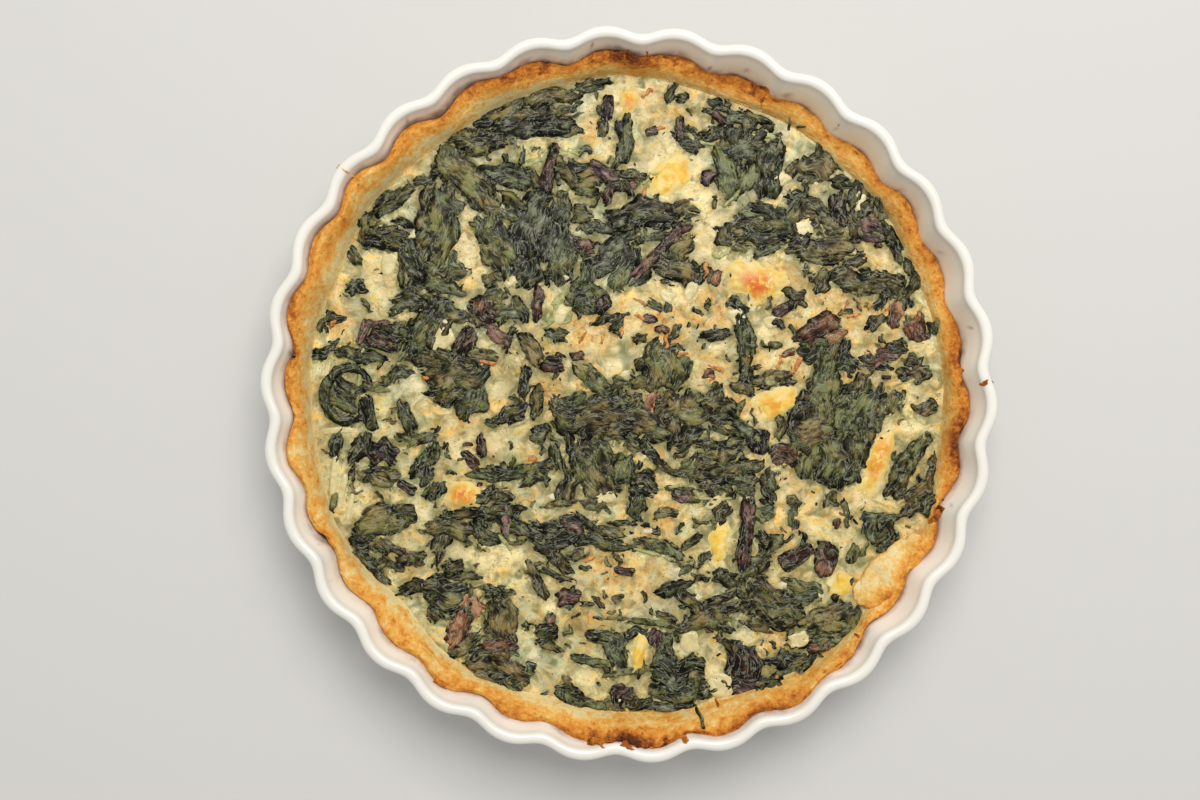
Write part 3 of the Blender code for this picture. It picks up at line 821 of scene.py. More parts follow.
# Where the custard is paler and greener, tinted by the leaves it cooked with.
COOL = (
    (-50, 82, 24, 1.0), (-80, 62, 24, 0.9), (-18, 72, 20, 1.0), (-16, 48, 18, 1.0), (-82, 38, 20, 0.9),
    (-62, 24, 18, 0.7), (-90, 12, 22, 0.8), (20, -84, 20, 0.9), (44, -82, 20, 1.0), (64, -86, 12, 0.7),
    (-20, -60, 16, 1.0), (-42, -102, 18, 0.9), (-104, -20, 16, 0.8), (60, 98, 16, 0.9),
    (-20, 102, 14, 1.0), (-78, -76, 18, 0.5), (-18, -18, 16, 0.9), (72, 80, 18, 0.8), (-100, 40, 14, 0.7),
    (-82, -40, 20, 0.5), (34, -58, 16, 0.6), (-42, -38, 14, 0.7), (2, 4, 12, 0.6), (62, 60, 16, 0.5),
    (44, 80, 12, 0.6),
)
# Where pale cream shows in the custard: (x, y, radius).
CREAMY = (
    (14, 88, 9), (27, 82, 10), (16, 97, 6), (24, 92, 6), (33, 66, 7), (30, 58, 7), (36, 52, 6),
    (-4, 114, 7), (6, 117, 7), (-13, 112, 5), (-91, 71, 9), (-62, 61, 8), (-63, 52, 5), (-97, 46, 8),
    (-92, 36, 6), (-47, 80, 7), (-58, 91, 5), (-36, 41, 5), (-44, 47, 5), (0, 26, 6), (-13, 20, 6),
    (-25, 14, 6), (-83, 4, 8), (-71, 0, 6), (-64, -10, 8), (-51, -18, 7), (-50, 2, 5), (-30, 10, 4),
    (-66, -21, 8), (-80, -44, 6), (-55, -64, 7), (-63, -62, 6), (-44, -61, 5), (-37, -67, 5),
    (-28, -80, 6), (36, -56, 5), (5, -80, 6), (38, 30, 6), (33, 21, 6), (53, 22, 6), (70, 12, 6),
    (56, 16, 5), (66, 32, 5), (98, -13, 5), (95, -22, 6), (90, -32, 6), (90, -40, 5), (84, -60, 7),
    (78, -72, 6), (10, -84, 5), (44, -95, 6), (56, -94, 5), (33, -108, 5), (-17, -109, 6), (-36, -103, 5),
    (-6, 12, 5), (110, -12, 5), (104, 50, 4), (-108, -36, 5),
)


def patches(x, y, spots):
    """How much round patches cover each point, the strongest where they overlap."""
    cover = np.zeros_like(x)
    for centre_x, centre_y, radius, strength in spots:
        away = np.hypot(x - centre_x, y - centre_y) / radius
        cover = np.maximum(cover, strength * (1 - step_up(away, 0.3, 1.15)))
    return cover


def custard_base(x, y):
    """The custard's broad shape: a slight dome with long, shallow swells."""
    out = (x * x + y * y) / CASE_INNER**2
    swell = 0.35 * np.sin(TURN * (x * 0.906 + y * 0.423) / 70)
    swell = swell + 0.45 * np.sin(TURN * (-x * 0.342 + y * 0.940) / 95)
    return CUSTARD_EDGE + CUSTARD_DOME * (1 - out) + swell * (1 - step_up(out, 0.8, 1.0))


def custard_relief(x, y):
    """The custard's lumps, puckers and pin holes."""
    lumps = 0.55 * layered(x, y, 9, 51, 2) + 0.30 * noise(x, y, 3.6, 52)
    puckers = 0.16 * (ridges(x, y, 6.0, 57) - 0.6)
    holes = -0.7 * step_up(noise(x, y, 1.9, 61), 0.80, 0.95)
    return lumps + puckers + holes


class Plan:
    """The filling seen from above in square cells, marked where leaves show."""

    def __init__(self, step=0.5, half=130.0):
        self.step = step
        self.half = half
        self.cells = np.zeros((int(2 * half / step),) * 2)

    def index(self, values):
        """The cell number that each coordinate falls in."""
        return np.clip(((values + self.half) / self.step).astype(int), 0, len(self.cells) - 1)

    def mark(self, x, y, shows):
        """Mark the cells under points where something shows."""
        shows = shows.ravel()
        self.cells[self.index(y.ravel()[shows]), self.index(x.ravel()[shows])] = 1

    def spread(self, reach):
        """The marks blurred over a distance in millimetres."""
        span = max(1, int(reach / self.step))
        blurred = self.cells
        for _ in range(2):
            for axis in (0, 1):
                total = np.cumsum(blurred, axis=axis)
                total = np.roll(total, -span, axis=axis) - np.roll(total, span, axis=axis)
                blurred = np.clip(total / (2 * span), 0, 1)
        return blurred

    def read(self, blurred, x, y):
        """What a blurred plan says at each point."""
        return blurred[self.index(y), self.index(x)]


def make_custard(material, plan):
    """The filling, on a square grid bent into a disc, with a plain side and bottom."""
    count = CUSTARD_CELLS
    line = np.linspace(-1, 1, count)
    u, v = np.meshgrid(line, line)
    share_x = u * np.sqrt(1 - v * v / 2)
    share_y = v * np.sqrt(1 - u * u / 2)
    reach = case_inner(np.arctan2(share_y, share_x))
    x = (reach + 1.3) * share_x
    y = (reach + 1.3) * share_y
    inside = reach - np.hypot(x, y)
    height = custard_base(x, y) + custard_relief(x, y) * step_up(inside, -1.0, 3.0)
    height = height - 0.35 * (1 - step_up(inside, 0.0, 1.5))
    toast = patches(x, y, TOASTED)
    cream = patches(x, y, [(*spot, 1.0) for spot in CREAMY])
    # Painted light and shade: the custard's lumps are painted lighter and its hollows darker.
    rise = step_up(custard_relief(x, y), -0.55, 0.45)
    # How near the leaves are: the custard there is partly stained green and partly in painted shade.
    near = plan.read(plan.spread(1.5), x, y)
    green = np.clip(0.35 * plan.read(plan.spread(5), x, y) + 1.1 * near, 0, 1)
    top = np.stack([x, y, height], axis=-1).reshape(-1, 3)
    index = np.arange(count * count).reshape(count, count)
    border = np.concatenate([index[0, :-1], index[:-1, -1], index[-1, :0:-1], index[:0:-1, 0]])
    low = top[border] * np.array([0.95, 0.95, 0]) + np.array([0, 0, CUSTARD_BOTTOM])
    below = len(top) + np.arange(len(border))
    wall = np.stack([border, below, np.roll(below, -1), np.roll(border, -1)], axis=-1)
    points = np.concatenate([top, low])
    unseen = np.zeros(len(low))
    cool = patches(x, y, COOL)
    masks = {"toast": toast, "green": green, "cream": cream, "rise": rise, "cool": cool}
    masks = {name: np.append(values.ravel(), unseen) for name, values in masks.items()}
    groups = [grid_faces(count, count), wall, below[None, ::-1]]
    piece = make_mesh("filling_visual", points, groups, masks, material)
    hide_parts("filling")


# ------------------------------------------------------------ pieces that lie on it

# How a kind of piece is shaped.  pitch: size of its mesh cells.  spread: its mesh over its
# visible size, the rest being sunk in the custard.  top, sink: height above the custard in
# the middle and depth at the mesh's edge.  flat: where the slope to the edge starts.
# round: 2 for an oval and more for a squarer outline.  ragged: how far the outline strays.
# wander: how far the piece winds from its middle line.
# ribs, rib_gap: lines along the piece.  crumple, crumple_size: folds in all directions.
# slits: depth of the tears along it.  cast: how far its hue follows the green and brown
# places below.  core: toasted in the middle and dull at its edge, as cheese is.
LEAF = dict(
    pitch=0.62, spread=1.40, top=0.75, sink=0.95, flat=0.54, round=2.4, ragged=0.16, wander=0.18,
    ribs=0.10, rib_gap=2.4, crumple=0.68, crumple_size=5.0, slits=0.9, cast=1.35,
)
TORN = dict(LEAF, pitch=0.68, top=0.65, ragged=0.23, slits=1.0)
CHOPPED = dict(LEAF, pitch=0.66, top=0.6, ragged=0.25, crumple=0.44, crumple_size=3.0, slits=0.9)
SHRED = dict(
    LEAF, pitch=0.54, top=0.35, sink=0.75, ragged=0.40, wander=0.5, ribs=0.08, crumple=0.24,
    crumple_size=1.6, slits=0.0,
)
STEM = dict(
    LEAF, pitch=0.56, spread=1.16, top=0.75, sink=0.9, flat=0.70, round=4.5, ragged=0.10, wander=0.06,
    ribs=0.26, rib_gap=0.8, crumple=0.22, crumple_size=2.6, slits=0.2, cast=0.0,
)
PURPLE_LEAF = dict(LEAF, top=0.65, ragged=0.20, round=2.8, slits=0.8, cast=0.0)
CHEESE = dict(
    LEAF, pitch=0.7, spread=1.30, top=1.5, sink=0.9, flat=0.15, round=2.3, ragged=0.15, wander=0.10,
    ribs=0.0, crumple=0.40, crumple_size=5.0, slits=0.0, cast=0.0, core=True,
)
CRUMB = dict(CHEESE, pitch=0.5, top=0.8, ragged=0.25, crumple=0.2, crumple_size=1.5)
THREAD = dict(
    LEAF, pitch=0.42, top=0.30, sink=0.7, spread=1.3, ragged=0.6, wander=0.4, ribs=0.0, crumple=0.30,
    crumple_size=1.8, slits=0.0, cast=0.0,
)
RIM_CRUMB = dict(
    CRUMB, pitch=0.4, spread=1.6, top=0.8, sink=2.2, ragged=0.3, crumple=0.35, crumple_size=1.6
)
RIM_STRAND = dict(THREAD, top=0.5, sink=1.6, wander=0.3, ragged=0.25)
SLICE = dict(
    STEM, pitch=0.6, top=0.45, sink=0.8, flat=0.72, round=3.2, ragged=0.14, ribs=0.1, rib_gap=1.2,
    crumple=0.25,
)


# Where the leaves stay a cool green and where they lean to brown: place, radius and strength.
GREEN_PLACES = (
    (-38, 60, 23, 0.42), (-3, 54, 21, 0.36), (40, 83, 12, 0.40), (-36, 100, 14, 0.40),
    (-78, 38, 13, 0.40), (-68, 62, 14, 0.32), (-68, -54, 9, 0.35), (17, -107, 9, 0.40),
    (-92, -2, 10, 0.30), (75, -70, 14, 0.25),
)
BROWN_PLACES = (
    (85, 38, 27, 0.45), (104, 10, 18, 0.40), (55, 8, 18, 0.32), (60, -18, 20, 0.38), (20, -35, 22, 0.34),
    (5, 0, 24, 0.24), (-22, -70, 24, 0.34), (-55, -95, 18, 0.42), (45, -100, 24, 0.34),
    (-25, 15, 18, 0.38), (-62, 22, 15, 0.36), (-98, -40, 20, 0.34), (0, 80, 13, 0.34), (76, 66, 19, 0.34),
    (45, -50, 16, 0.34), (112, -40, 16, 0.34),
)


def leaf_cast(x, y):
    """How far a leaf's colour leans to green, above 0, or to brown, below 0."""
    return patches(x, y, GREEN_PLACES) - patches(x, y, BROWN_PLACES)


class Pile:
    """Pieces of one kind, joined into one mesh as they are added."""

    def __init__(self, plan=None, ground=None):
        self.plan = plan
        self.ground = ground or custard_base
        self.points = []
        self.groups = []
        self.masks = {"tone_and_painted_light": [], "film": [], "tint": [], "lie": []}
        self.count = 0

    def add(self, style, x, y, length, width, turn, bend=0, lift=0.0, tint=None):
        """A piece: a grid along a bent middle line, closed below by a strip."""
        # Each piece has random numbers of its own, from where it lies and how long it is.
        seed = int(abs(x * 13.7 + y * 7.3 + length * 3.1) * 10) + 17
        rng = np.random.default_rng(seed)
        rows = max(6, int(length * style["spread"] / style["pitch"]) + 2)
        columns = max(5, int(width * style["spread"] / style["pitch"]) + 2)
        # s and t run from -1 to 1 along and across the grid, closer together at its edges.
        s = np.linspace(-1, 1, rows)[:, None] + np.zeros((1, columns))
        t = np.linspace(-1, 1, columns)[None, :] + np.zeros((rows, 1))
        s = 0.8 * s + 0.2 * s**5
        t = 0.8 * t + 0.2 * t**5
        along = 0.5 * length * style["spread"] * s
        taper = 1 + rng.uniform(-0.22, 0.22) * s
        across = 0.5 * width * style["spread"] * t * taper
        turn = math.radians(turn)
        bend = math.radians(bend) + 0.001
        swing = bend * along / length
        sway = style["wander"] * width * noise(along, 0 * along, max(length / 3, 2), seed)
        local_x = length / bend * np.sin(swing) - np.sin(swing) * (across + sway)
        local_y = length / bend * (1 - np.cos(swing)) + np.cos(swing) * (across + sway)
        px = x + local_x * math.cos(turn) - local_y * math.sin(turn)
        py = y + local_x * math.sin(turn) + local_y * math.cos(turn)
        # `out` is 0 in the middle and 1 on the plain outline; `fall` is 1 outside the ragged one.
        out = (np.abs(s) ** style["round"] + np.abs(t) ** style["round"]) ** (1 / style["round"])
        grain = min(max(0.32 * width, 1.2), 3.2)
        stray = style["ragged"] * 1.5 * layered(0.45 * along, across, grain, seed + 3, 3)
        fall = step_up(out + stray * step_up(1.12 - out, 0.0, 0.3), style["flat"], 1.0)
        top = (style["top"] + lift) * rng.uniform(0.8, 1.2)
        fold = style["crumple"] * layered(px, py, style["crumple_size"], seed + 5, 2)
        if style["ribs"]:
            drift = across + 1.2 * noise(along, across, 7, seed + 6)
            lines = noise(along / 4, drift, style["rib_gap"], seed + 7)
            fold = fold + style["ribs"] * (1 - 2 * np.abs(lines))
        if style["slits"]:
            drift = across + 1.5 * noise(along, across, 6, seed + 8)
            tears = step_up(ridges(0.4 * along, drift, 3.6, seed + 9), 0.90, 0.99)
            patchy = step_up(noise(px, py, 6, seed + 10), -0.4, 0.3)
            fold = fold - style["slits"] * tears * patchy
        # Height above the ground, and above the custard's lumps.
        height = top - (top + style["sink"]) * fall + fold * (1 - 0.7 * fall)
        pz = self.ground(px, py) + height
        clear = height - custard_relief(px, py)
        if self.plan:
            self.plan.mark(px, py, clear > 0)
        # What the material reads: the tone, with painted light on crests and in the middle and painted
        # shade in folds and at the edge; a film of custard by the edge; a hue.
        tone_and_painted_light = style.get("shade", 0) + 0.44 * rng.uniform() - 0.22 + 0.8 * np.clip(fold, -0.8, 0.8)
        tone_and_painted_light = tone_and_painted_light + 0.20 * (1 - step_up(out, 0.0, 0.75)) - 0.40 * step_up(fall, 0.05, 0.4)
        patchy = step_up(noise(px, py, 3.6, seed + 12), -0.5, 0.2)
        film = 0.8 * patchy * (1 - step_up(clear, 0.0, 0.2))
        tint = rng.uniform() if tint is None else tint
        if style.get("core"):
            film = step_up(out, 0.30, 0.80)
            tint = tint * (1 - step_up(out, 0.1, 0.65))
        tint = tint + style["cast"] * leaf_cast(px, py)
        lie = np.stack([along * 0.4 * MM, across * MM, along * 0 + 0.1 * rng.uniform()], axis=-1)
        self.store(px, py, pz, dict(tone_and_painted_light=tone_and_painted_light, film=film, tint=tint, lie=lie))

    def store(self, px, py, pz, masks):
        """Add a finished grid, its strip below and its two end caps."""
        rows, columns = px.shape
        index = self.count + np.arange(rows * columns).reshape(rows, columns)
        self.points.append(np.stack([px, py, pz], axis=-1).reshape(-1, 3))
        self.groups.append(grid_faces(rows, columns, first=self.count)[:, ::-1])
        strip = [index[:-1, 0], index[1:, 0], index[1:, -1], index[:-1, -1]]
        self.groups.append(np.stack(strip, axis=-1)[:, ::-1])
        self.groups.append(index[0][None, ::-1])
        self.groups.append(index[-1][None, :])
        for name, values in masks.items():
            self.masks[name].append(values.reshape(rows * columns, *values.shape[2:]))
        self.count += rows * columns

    def finish(self, name, material, slot, *nodes):
        """Make the pile's one mesh and hide the nodes that it stands for."""
        masks = {mask: np.concatenate(values) for mask, values in self.masks.items()}
        piece = make_mesh(name, np.concatenate(self.points), self.groups, masks, material)
        if nodes:
            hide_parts(*nodes)


# Placings are (x, y, length, width, turn, bend) in millimetres and degrees; the bend is
# left out where the piece is straight.  The three lists of forms hold only the last four,
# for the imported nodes, whose middles come from the frame.
LEAF_FORMS = (
    (27, 12, -48, 8), (21, 10, 8, 15), (19, 8, -18, -15), (17, 9, 3), (17, 5, 33, 12), (27, 14, 74, 15),
    (17, 9, -62, 10), (26, 14, 82), (19, 10, -6), (20, 7, 80, 10), (27, 8, 4, -10), (30, 11, 4, -10),
    (21, 12, 78, 10), (13, 11, -30), (22, 11, 5), (26, 8, -7, -10), (27, 6.5, 95, 10), (18, 14, 85),
    (26, 11, 75), (22, 13, 72, 10), (20, 14, 80), (24, 8, 62, 10), (30, 15, -8, 15), (24, 14, -68, 10),
    (22, 10, 8, 30), (19, 13, 55), (23, 14, 14), (21, 11, 3), (18, 11, 88), (21, 14, -6, 10),
    (24, 15, -3, -10), (17, 8, 18, 10),
)
PURPLE_FORMS = (
    (20, 5.2, 76), (10, 4.6, 88), (31, 4.6, 46, 14), (10, 9, 86), (13, 7, 96), (13, 9, -8),
    (13, 7.5, -22, 10), (11, 9, -8), (13, 8, 60), (13, 10, -50), (16, 13, 78), (19, 7.5, 22, 10),
    (9, 8, 10),
)
CHEESE_FORMS = (
    (25, 18, 5), (23, 12, 20), (12, 10, 60), (35, 10, 66, 12), (20, 9, 84, -15), (23, 16, 32),
    (12, 8, 90), (19, 6.5, 82, 40), (15, 12, 0),
)
MORE_LEAVES = (
    # upper left
    (-79, 84, 11, 6, 25), (-78, 76, 14, 5, 80), (-70, 75, 13, 9, -65), (-78, 66, 13, 8, 62),
    (-84, 54, 18, 9, -56, 8), (-80, 47, 10, 7, -30), (-106, 54, 8, 5, -48), (-48, 72, 19, 12, -40),
    (-55, 62, 14, 8, -62), (-49, 52, 20, 13, -50), (-66, 47, 12, 6, 18), (-52, 45, 9, 5, 0),
    (-106, 41, 10, 6, 5), (-102.5, 65, 13, 3, 82), (-90, 57, 10, 6, -20), (-86, 79, 8, 4, 30),
    # top
    (-32, 115, 25, 7, 14, -15), (-35, 109, 18, 6, 6), (-38, 84, 10, 6, -12), (-13, 120.5, 13, 3, 8, -6),
    (6, 84, 9, 4.5, 32), (-10, 103, 8, 4, 88), (-25, 107, 6, 3, 10), (21, 115, 4.5, 3.5, 0),
    (33, 113, 6, 3, 5), (24, 99, 12, 7, -35), (33, 101, 11, 6, 20), (38, 88, 20, 9, -72),
    (33.5, 74, 5, 2, 85), (-35, 72, 13, 9, 62), (-25, 73, 12, 7, 80), (-18, 70, 8, 7, 0),
    (-30, 62, 20, 12, 70), (-24, 54, 20, 12, 78), (-38, 48, 14, 9, 60), (17, 70, 19, 8, 18),
    (0, 58, 14, 11, 72), (-9, 53, 17, 10, 52), (-3, 46, 12, 8, 60), (19, 48, 16, 8, -18),
    (25, 47, 12, 7, 75), (38, 61, 11, 8, -60), (46, 88, 18, 7, 86), (47, 102, 10, 5, 65),
    (-16, 79, 10, 4, -10),
    # upper right
    (64, 87, 8, 5, 80), (81.5, 83.5, 7, 4.5, 10), (85, 81, 14, 2.8, 2), (82, 76, 6, 5, 40),
    (86.7, 72, 14, 2.2, 88), (96, 74, 14, 7, -48), (102, 60, 18, 5, -64, -10), (109, 49, 7, 4, -52),
    (66, 75, 14, 8, 0), (53, 71, 14, 6, -18), (47, 70, 9, 7, 30), (53, 57, 13, 6, 12), (77, 66, 13, 8, 0),
    (75, 56, 23, 9, 5), (67, 59, 8, 7, 0), (88, 52, 9, 5, 30), (97, 46, 20, 5, -10), (74, 45, 7, 5, 40),
    (82, 47, 8, 4, 20), (62, 66, 9, 6, -40),
    # left
    (-118, 28, 8, 5, 62), (-113, 30, 6, 4, 0), (-89, 24, 11, 6, -24), (-118, 17, 9, 5, 25),
    (-104, 15.5, 21, 5, -6), (-84, 38, 16, 9, 5), (-76, 33, 14, 9, 10), (-81, 22, 16, 9, 68),
    (-70, 15, 17, 5, -16), (-66, 31, 12, 5, -8), (-58, 14, 15, 7, 0), (-48, 31, 10, 8, 50),
    (-76, 13, 21, 8, -14), (-89, 8, 11, 6, 10), (-61, -3, 12, 9, 60), (-92, -5.3, 11, 1.8, 0),
    (-98, 2.5, 12, 3, -12), (-109, 0.5, 13, 11, -40), (-101, -7, 12, 7, -62), (-86, -9, 13, 5, -72),
    (-80, -17, 12, 5, 8), (-80, -26, 16, 9, 60), (-104, -21, 13, 8, 62), (-113, -20, 12, 5, 86),
    (-96, -32, 12, 8, 0), (-107, -31, 7, 3, 80), (-75, -38, 9, 6, 60), (-46, -8, 13, 7, 28),
    (-53, -11, 5, 3.5, 0), (-48, -31, 25, 6, 8, 30), (-53, -39.5, 19, 5, -3), (-97, 3, 6, 3, 0),
    # middle
    (-14, 37, 13, 11, 10), (-28, 23, 9, 5, 0), (-38, 17, 14, 7, -52), (-9, 5, 18, 8, -12, 20),
    (-16, 5.5, 14, 3.4, -38, 10), (20, 9, 15, 9, 35), (6, 4, 8, 6, 0), (34, 23, 10, 4.5, 8),
    (15, 33.5, 5, 4, 80), (-21, -8, 22, 8, -44, -40), (-23, -2, 13, 7, 30), (-7, -7, 20, 10, -4),
    (1, -13, 18, 9, 0), (-2, -19, 16, 6, -10), (-14, -28, 26, 13, -62), (-23, -36, 12, 8, 82),
    (-22, -22, 15, 3.5, -74), (-34, -15.5, 7, 7, 0), (-28, -24, 11, 5, -68), (-36, -31, 15, 8, 24),
    (17, -9, 22, 6, 88), (26, -6, 15, 10, 10), (36, -6, 15, 9, 0), (38, -14, 12, 4, -22),
    (9, -24, 19, 4.5, -52, 20), (18, -30, 15, 3, -20), (6, -35, 11, 9, -20), (38, -24, 12, 6, 28),
    (28, -30, 12, 5, -40), (4, -5, 9, 7, 60),
    # right
    (65, 38, 11, 6, -12), (58, 27, 5, 4, 0), (57, 19, 5, 3, 0), (56, 7, 15, 5, 12), (45, 3, 9, 6, 0),
    (73, 18, 13, 8, 12), (76, 10, 19, 9, 70), (84, 12, 9, 8, 0), (93, 34.5, 4, 3.6, 0),
    (98, 36, 9, 5, 60), (118, 26, 6, 4, -60), (110, 13, 5.5, 5, 0), (113, 8, 8, 7, 30), (107, 8, 7, 6, 0),
    (115, -6, 9, 7, 0), (104, -3, 10, 7, 62), (76, 2, 25, 10, 76), (73, -14, 18, 12, 10),
    (84, -9, 22, 13, 64), (93, -12, 18, 9, 80), (82, -26, 18, 12, 0), (89, -22, 20, 9, 88),
    (70, -26, 13, 8, 80), (96, -5, 12, 8, 20), (118, -26, 7, 3, 86), (114, -38, 13, 8, 32),
    (45, -28, 13, 5, 14), (45, -34, 10, 8, 0), (56, -33, 10, 7, 80), (64, -41, 6, 4, 0),
    (66, -18, 10, 7, -60), (88, 3, 14, 6, 40),
    # lower left
    (-103, -57, 9, 8, 0), (-93, -59, 12, 6, -24), (-100, -65, 15, 4.5, -36), (-85, -75, 11, 5, 20),
    (-82, -63, 7, 6, 0), (-70, -52, 20, 6, -5), (-74, -60, 15, 7, 82), (-55, -55, 15, 6, -32),
    (-45, -55, 9, 6, 0), (-66, -70, 17, 3.6, 2, -20), (-70, -79, 16, 13, 0), (-50, -76, 20, 2.8, -8, -15),
    (-76, -86, 6, 5, 0), (-63, -97, 15, 5, 42), (-53, -106, 18, 12, -12), (-45, -113, 9, 4, -28),
    (-54, -88, 14, 6, 85), (-49, -90, 16, 6, 88), (-90, -47, 16, 8, 8),
    # bottom
    (-29, -55, 22, 10, 4), (-14, -51, 15, 2.8, -36, 10), (-5, -50, 15, 2.8, 0), (-6, -57.5, 25, 5, -3),
    (12, -59, 22, 4.6, -22, -10), (-29, -63.5, 17, 4.5, -40), (-20, -62, 7, 5, 0),
    (-16.5, -67.5, 5, 3, 0), (-27, -70.5, 15, 2.4, -20), (-35, -72, 15, 4.5, -64), (-16, -81, 6, 2, 0),
    (25, -57, 9, 3, 36), (29, -64, 8, 4, 48), (28, -71, 7, 3, 0), (37, -71, 10, 6, -12),
    (18, -75, 15, 5, 24, 10), (25, -82, 16, 6, -50), (5, -88, 30, 2.6, -8, -10), (14, -86, 11, 3, -20),
    (31, -86, 25, 7, 16), (36, -79, 13, 4, 22), (35, -90, 12, 4, -22), (-4, -79.5, 5, 4, 60),
    (-33, -93, 9, 8, 0), (-30, -98, 9, 3, -20), (-9, -94, 12, 5, -10), (-5, -101, 14, 7, -68),
    (-14, -104, 15, 4, -14), (-1, -108, 18, 3, 6), (15, -103, 20, 9, -62), (21, -113, 22, 12, -4),
    (-22, -117, 13, 8, -22), (-11, -120, 18, 4.5, -4, 5), (36, -113, 8, 4, -30), (38, -97, 7, 3, -30),
    (4, -120, 12, 4, 4), (22, -68, 6, 3, 30),
    # lower right
    (53, -56, 9, 5, -28), (63, -48, 7, 4, 82), (84, -46, 10, 2.8, -85), (87, -62, 7, 4, 70),
    (98, -48, 13, 4, 8), (99, -54, 13, 9, 62), (112, -44, 14, 5, 22), (49, -67, 13, 6, 32, 20),
    (46, -76, 12, 7, -50), (56, -84, 22, 9, -6), (50, -89, 15, 6, -10), (68, -80, 12, 7, 10),
    (80, -78, 4, 3, 60), (84, -94, 17, 4, 26, 6), (62, -103, 17, 6, 10), (66, -89, 12, 5, 20),
    (100, -60, 8, 4, 30),
    # between the bigger ones, above the middle
    (-45, 104, 18, 9, 20), (-47, 111, 14, 6, 30), (-55, 106, 12, 6, 35), (-25, 110, 16, 8, 10),
    (-24, 102, 12, 6, 0), (44, 106, 14, 4, -25, -40), (52, 101, 10, 4, 40), (44, 95, 16, 8, 10),
    (72, 84, 10, 5, 20), (70, 72, 14, 8, -20), (64, 70, 12, 6, 60), (88, 66, 12, 7, -60),
    (92, 72, 8, 6, 30), (-72, 50, 12, 8, 40), (-6, 56, 14, 7, 60), (-52, 38, 12, 6, 30),
    (-4, 28, 9, 4, 40), (-16, 33, 9, 5, -20), (10, 34, 8, 4, -30), (18, 24, 7, 3.5, 60),
    (4, 22, 6, 4, 10), (44, 26, 8, 4, 70), (96, 28, 9, 5, 40), (106, 36, 12, 6, 60), (14, 16, 12, 7, 20),
    (8, 10, 12, 7, -60),
    # and below the middle
    (8, -12, 16, 9, -30), (16, -4, 12, 8, 60), (30, -9, 16, 7, -10), (24, -16, 14, 8, 30),
    (34, -2, 12, 8, 70), (46, -14, 12, 5, -30), (66, -6, 14, 8, 60), (-8, -36, 14, 7, 20),
    (28, -26, 16, 7, 20), (34, -36, 12, 6, -20), (-50, -46, 18, 7, 10), (-44, -50, 14, 7, -30),
    (-12, -44, 14, 5, -20), (14, -46, 10, 5, 20), (36, -46, 9, 6, 60), (52, -46, 10, 6, -10),
    (-46, -108, 16, 9, -10), (-56, -112, 10, 6, -30),
    # what fills the gaps of the upper half
    (-93, 76, 13, 5, 32), (-63, 85, 15, 7, -45), (-60, 75, 13, 4.5, -50), (-87, 66, 10, 3.6, -20),
    (-76, 60, 8, 5, 40), (-88, 47, 10, 3, 85), (-72, 42, 16, 5, -15), (-87, 34, 12, 5, 20),
    (-42, 33, 10, 5, -60), (-46, 21, 12, 4, 60), (-41, 92, 9, 2.4, 80), (-27, 91, 9, 3.4, -60),
    (-15, 119.5, 11, 3.6, 15), (-11, 65, 11, 5, -10), (-15, 50, 14, 8, 60), (-21, 40, 12, 5, 70),
    (2, 85, 12, 4, -10), (-9, 29, 10, 4, 20), (-40, 5, 12, 4, 85), (-110, -3, 14, 9, -35),
    (38, 110, 13, 3.4, -20), (50, 107, 12, 3, -25), (54, 96, 9, 5, 20), (41, 101, 7, 5, 60),
    (24, 96, 8, 3.4, -40), (75, 92, 9, 6, 10), (70, 84, 9, 4, 0), (88, 77, 11, 6, 80),
    (70, 73, 9, 5, -10), (42, 57, 12, 4, -10), (44, 63, 8, 4, 20), (19, 56, 15, 7, 48),
    (24, 68, 9, 4, 30), (11, 61.5, 10, 3.4, 10), (5, 46, 13, 5, 45), (28, 46, 9, 4, 60),
    (76, 56, 12, 4.5, 0), (66, 57, 8, 4, 0), (75, 42, 8, 5, 75), (90, 39.5, 14, 4, -5),
    (111, 42, 15, 5, 75), (95, 12, 13, 6, -10), (104, 18, 8, 5, 0), (83, 17, 10, 5, 60),
    (56, 4, 13, 4.5, 15), (43, 34, 9, 5, -30), (46, 24, 10, 4, 80), (9, 14, 13, 9, 60),
    (73, 3, 10, 8, 60), (110, 27, 9, 6, -30),
    # and of the lower half
    (-86, -17, 12, 4, -10), (-98, -31, 14, 5, 0), (-95, -47, 14, 7, 0), (-114.5, -42, 8, 2.6, 80),
    (-92, -66, 12, 4.5, -30), (-97, -70, 11, 3, -36), (-85, -64, 8, 5, 0), (-64, -46, 16, 4, 12),
    (-57, -40, 12, 5, 30), (-68, -67, 10, 5, 0), (-49, -76, 16, 6, -5), (-62, -84, 12, 5, 80),
    (-59, -99, 12, 6, 30), (-52, -109, 9, 5, 0), (-38, -107, 7, 3.4, 50), (-8, -53.5, 17, 4.5, 0),
    (-36, -3, 13, 5, 85), (-27, -42.5, 12, 2.6, 5), (-2, -29, 13, 7, 80), (-10, -121.5, 18, 3, -4),
    (22, -5, 13, 9, 70), (36, -19, 20, 4, 5), (43, -6, 9, 3, 70), (59, -13, 10, 4, 85),
    (97, -11, 13, 4, 75), (103, -3, 9, 5, 70), (117.5, -31, 13, 3.4, 84), (27, -39, 21, 7, -12),
    (4, -43, 10, 7, 80), (64.5, -46, 12, 4.5, 85), (54, -37, 10, 4.5, -70), (77, -41, 6, 3, 80),
    (94, -53, 10, 6, 80), (56, -57, 9, 5.5, 30), (52, -64, 8, 4, 0), (67, -74, 15, 5.5, -15),
    (80, -90, 19, 5.5, 8), (71, -96, 14, 5, 15), (87, -87, 9, 5, 70), (66, -105, 15, 4.5, 20),
